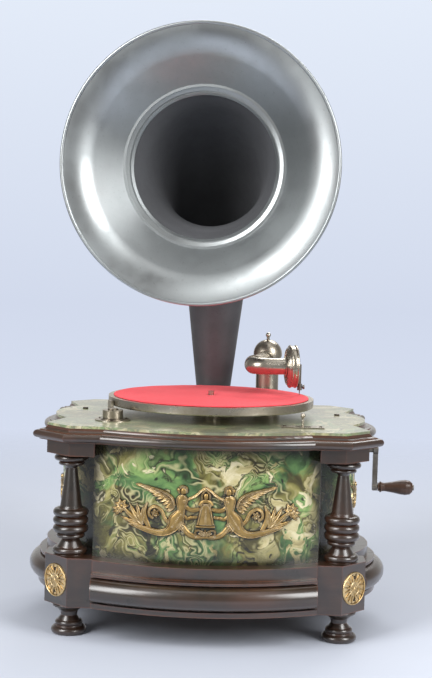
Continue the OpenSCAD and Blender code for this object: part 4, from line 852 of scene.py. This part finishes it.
def felt_disc():
    """Thin matted disc with soft edges and a faintly uneven top."""
    rim, hole, thick, top_rings = 120.8, 4.3, 1.6, 24
    clearance, pressed, upper = 0.15, 0.9, 1.0
    top_from, top_to = hole + 0.8, rim - 1.0
    profile = [(hole, 0.1), (hole + 0.2, thick - 0.3)]
    profile += [(top_from + (top_to - top_from) * i / top_rings, thick) for i in range(top_rings + 1)]
    profile += [(rim - 0.35, thick - 0.25), (rim, thick - 0.7), (rim - 0.15, 0.25), (rim - 0.6, 0.05)]

    def place(height, x, y):
        lift = felt_wave(x, y) if height > upper else 0.0
        return point_from(PLATTER, x, y, FELT_Z + clearance + (height + lift) * pressed)

    form = bmesh.new()
    revolve(form, profile, around=160, place=place)
    mat = mesh_piece("felt_disc", form, turntable_felt, "turntable", ["felt_mat"])


felt_disc()


# Horn
def smooth_elbow():
    """Tapered sheet-metal elbow with an inner wall."""
    around, wall = 128, 1.0
    neck_len, neck_r, bend_r = 179.0, 21.5, 120.0
    bend_z = BELL_Z - bend_r
    # Growth of the radius per millimetre, and past the start of the bend also per square millimetre
    growth, swell = 0.1184, 0.000412113
    neck_steps, bend_steps, straight_ends = 8, 28, (13.0, 26.0, 39.1)

    def widened(u):
        """Radius at a distance along the axis from the start of the bend."""
        return neck_r + growth * (neck_len + u) + swell * max(0.0, u) ** 2

    stations = []
    for i in range(neck_steps + 1):
        u = neck_len * (i / neck_steps - 1)
        stations.append((Vector((0, 0, bend_z + u)), Vector((0, 0, 1)), widened(u)))
    for i in range(1, bend_steps + 1):
        a = math.pi / 2 * i / bend_steps
        centre = Vector((0, bend_r * (math.cos(a) - 1), bend_z + bend_r * math.sin(a)))
        stations.append((centre, Vector((0, -math.sin(a), math.cos(a))), widened(bend_r * a)))
    for past in straight_ends:
        centre = Vector((0, -bend_r - past, bend_z + bend_r))
        stations.append((centre, Vector((0, -1, 0)), widened(bend_r * math.pi / 2 + past)))
    outer, inner = [], []
    for centre, axis, radius in stations:
        side = Vector((1, 0, 0))
        up = side.cross(axis)
        spokes = [side * math.cos(a) + up * math.sin(a) for a in full_turn(around)]
        outer.append([centre + spoke * radius for spoke in spokes])
        inner.append([centre + spoke * (radius - wall) for spoke in spokes])
    form = bmesh.new()
    rings = [[form.verts.new(horn_point(*p)) for p in ring] for ring in outer + inner[::-1]]
    skin(form, rings, looped=True)
    elbow = mesh_piece("smooth_elbow", form, horn_dark_metal, "horn", ["horn_elbow"])
    elbow.data.materials.append(horn_inside)
    inner_from = len(stations) * around
    for face in elbow.data.polygons:
        if min(face.vertices) >= inner_from:
            face.material_index = 1


smooth_elbow()


def flared_bell():
    """Spun bell: cone that opens into a rounded flare with a rolled rim."""
    # Radii r are from the bell's axis, distances s run back along it, the cone's angle is in degrees
    wall, bead, rim_r, reach = 1.0, 2.2, 166.0, 225.0
    flare_r, flare_mid_r, flare_mid_s = 56.0236, 170.0, 61.0236
    throat_r, throat_s, cone = 100.0, 52.8616, 46
    flare_steps, cone_steps = 40, 12
    start = math.degrees(math.asin((flare_mid_r - rim_r + bead) / flare_r))
    back_step = wall / math.sin(math.radians(cone))
    sides = []
    for radius, end_r in ((flare_r, throat_r), (flare_r - wall, throat_r + back_step)):
        line = arc(flare_mid_r, flare_mid_s, radius, -90 - start, -90 - cone, flare_steps)
        from_r, from_s = line[-1]
        for i in range(1, cone_steps + 1):
            t = i / cone_steps
            line.append((from_r + (end_r - from_r) * t, from_s + (throat_s - from_s) * t))
        sides.append(line)
    front, back = sides
    rim_s = flare_mid_s - math.sqrt(flare_r ** 2 - (flare_mid_r - rim_r) ** 2) + wall / 2
    profile = front[::-1] + arc(rim_r, rim_s, bead, -150, 150, 20) + back

    def place(s, x, z):
        return horn_point(x, s - reach, BELL_Z + z)

    form = bmesh.new()
    revolve(form, profile, around=180, place=place)
    mesh_piece("flared_bell", form, bell_silver, "horn", ["horn_bell"], sharp=60)


flared_bell()


# Sound box
def ringed_sound_box():
    """Sound box with rings on its back, two beads round its edge and a sunk front."""
    # Points are (radius, distance from the back)
    hub_r = 13.0
    profile = [(12.2, 0.0), (hub_r, 0.8), (hub_r, 2.2)]
    for r in (15.3, 18.7, 22.1):
        profile += arc(r, 2.5 + 0.12 * (r - hub_r), 1.3, 180, 360, 8)
    profile += [(24.2, 4.6)] + arc(25.5, 6.3, 1.5, -100, 80, 8)
    profile += [(25.9, 8.6), (25.9, 10.9)] + arc(25.5, 13.2, 1.5, -80, 100, 8)
    profile += [(24.4, 15.0), (22.6, 15.0), (21.6, 12.8)] + arc(19.6, 12.0, 1.2, 0, 180, 8) + [(17.6, 12.0)]
    form = bmesh.new()
    rings = revolve(form, profile, around=72, place=box_point, looped=False)
    form.faces.new(rings[0])
    form.faces.new(rings[-1])
    mesh_piece("ringed_sound_box", form, nickel_plate, "sound_head", ["sound_box"])


ringed_sound_box()


# Studio: pale floor that fades into the background, soft lamps, world
def studio_floor():
    """Round sheet of paper under the object; its edge fades out."""
    below, ring_width, ring_count = -0.0002, 0.3, 6
    fade_from, fade_to = 0.7, 1.7
    profile = [(ring_width * (i + 1), below) for i in range(ring_count)]

    def place(z, x, y):
        return x, y, z

    form = bmesh.new()
    rings = revolve(form, profile, around=96, place=place, looped=False)
    form.faces.new(rings[0])
    bmesh.ops.recalc_face_normals(form, faces=form.faces)
    shape = bpy.data.meshes.new("studio_floor")
    form.to_mesh(shape)
    form.free()
    floor = bpy.data.objects.new("studio_floor", shape)
    bpy.context.collection.objects.link(floor)
    material, tree, shader = new_material("studio_paper", Roughness=0.9, Base_Color="#c9cfdc")
    reach = add(tree, "ShaderNodeVectorMath", {0: object_place(tree)}, operation="LENGTH").outputs["Value"]
    feed(tree, levels(tree, reach, fade_from, fade_to, 1.0, 0.0), shader["Alpha"])
    shape.materials.append(material)


studio_floor()


def soft_lamp(name, place, aim_z, size, power):
    """Rectangular lamp that looks at a height on the middle axis."""
    data = bpy.data.lights.new(name, "AREA")
    data.shape = "RECTANGLE"
    data.size, data.size_y = size
    data.energy = power
    lamp = bpy.data.objects.new(name, data)
    bpy.context.collection.objects.link(lamp)
    lamp.location = place
    lamp.rotation_euler = (Vector((0.0, 0.0, aim_z)) - Vector(place)).to_track_quat("-Z", "Y").to_euler()


soft_lamp("left_softbox", place=(-1.3, -1.3, 1.3), aim_z=0.3, size=(0.85, 1.5), power=38.0)
soft_lamp("right_softbox", place=(1.4, -1.2, 1.25), aim_z=0.3, size=(0.8, 1.4), power=34.0)
soft_lamp("top_softbox", place=(0.0, -0.3, 2.3), aim_z=0.2, size=(1.8, 1.4), power=7.0)
soft_lamp("back_softbox", place=(0.5, 1.7, 1.9), aim_z=0.3, size=(1.6, 0.8), power=26.0)

# Greys of the room and tones of the background, from low to high
ROOM = [(0.0, "#7e7e80"), (0.36, "#d1d1d2"), (0.5, "#f4f3f1"), (0.7, "#d3d2d1"), (1.0, "#bbbab9")]
PAPER = [(0.0, "#d8e0f2"), (0.4, "#d2daec"), (1.0, "#e5edfa")]


def studio_world():
    """Pale background for the camera, and for all else a room that is brightest behind the object."""
    world = bpy.data.worlds.new("studio_light")
    bpy.context.scene.world = world
    world.use_nodes = True
    tree = world.node_tree
    place = add(tree, "ShaderNodeTexCoord").outputs["Generated"]
    split = add(tree, "ShaderNodeSeparateXYZ", {0: place}).outputs
    room = ramp(tree, levels(tree, split["Z"], -0.5, 0.6), ROOM)
    strength = levels(tree, split["Y"], 0.6, 0.95, 0.38, 0.9)
    dimmed = add(tree, "ShaderNodeVectorMath", {0: room, "Scale": strength}, operation="SCALE").outputs[0]
    paper = ramp(tree, levels(tree, split["Z"], -0.2, 0.2), PAPER)
    seen = add(tree, "ShaderNodeLightPath").outputs["Is Camera Ray"]
    colour = blend_colour(tree, seen, dimmed, paper)
    feed(tree, colour, tree.nodes["Background"].inputs["Color"])


studio_world()
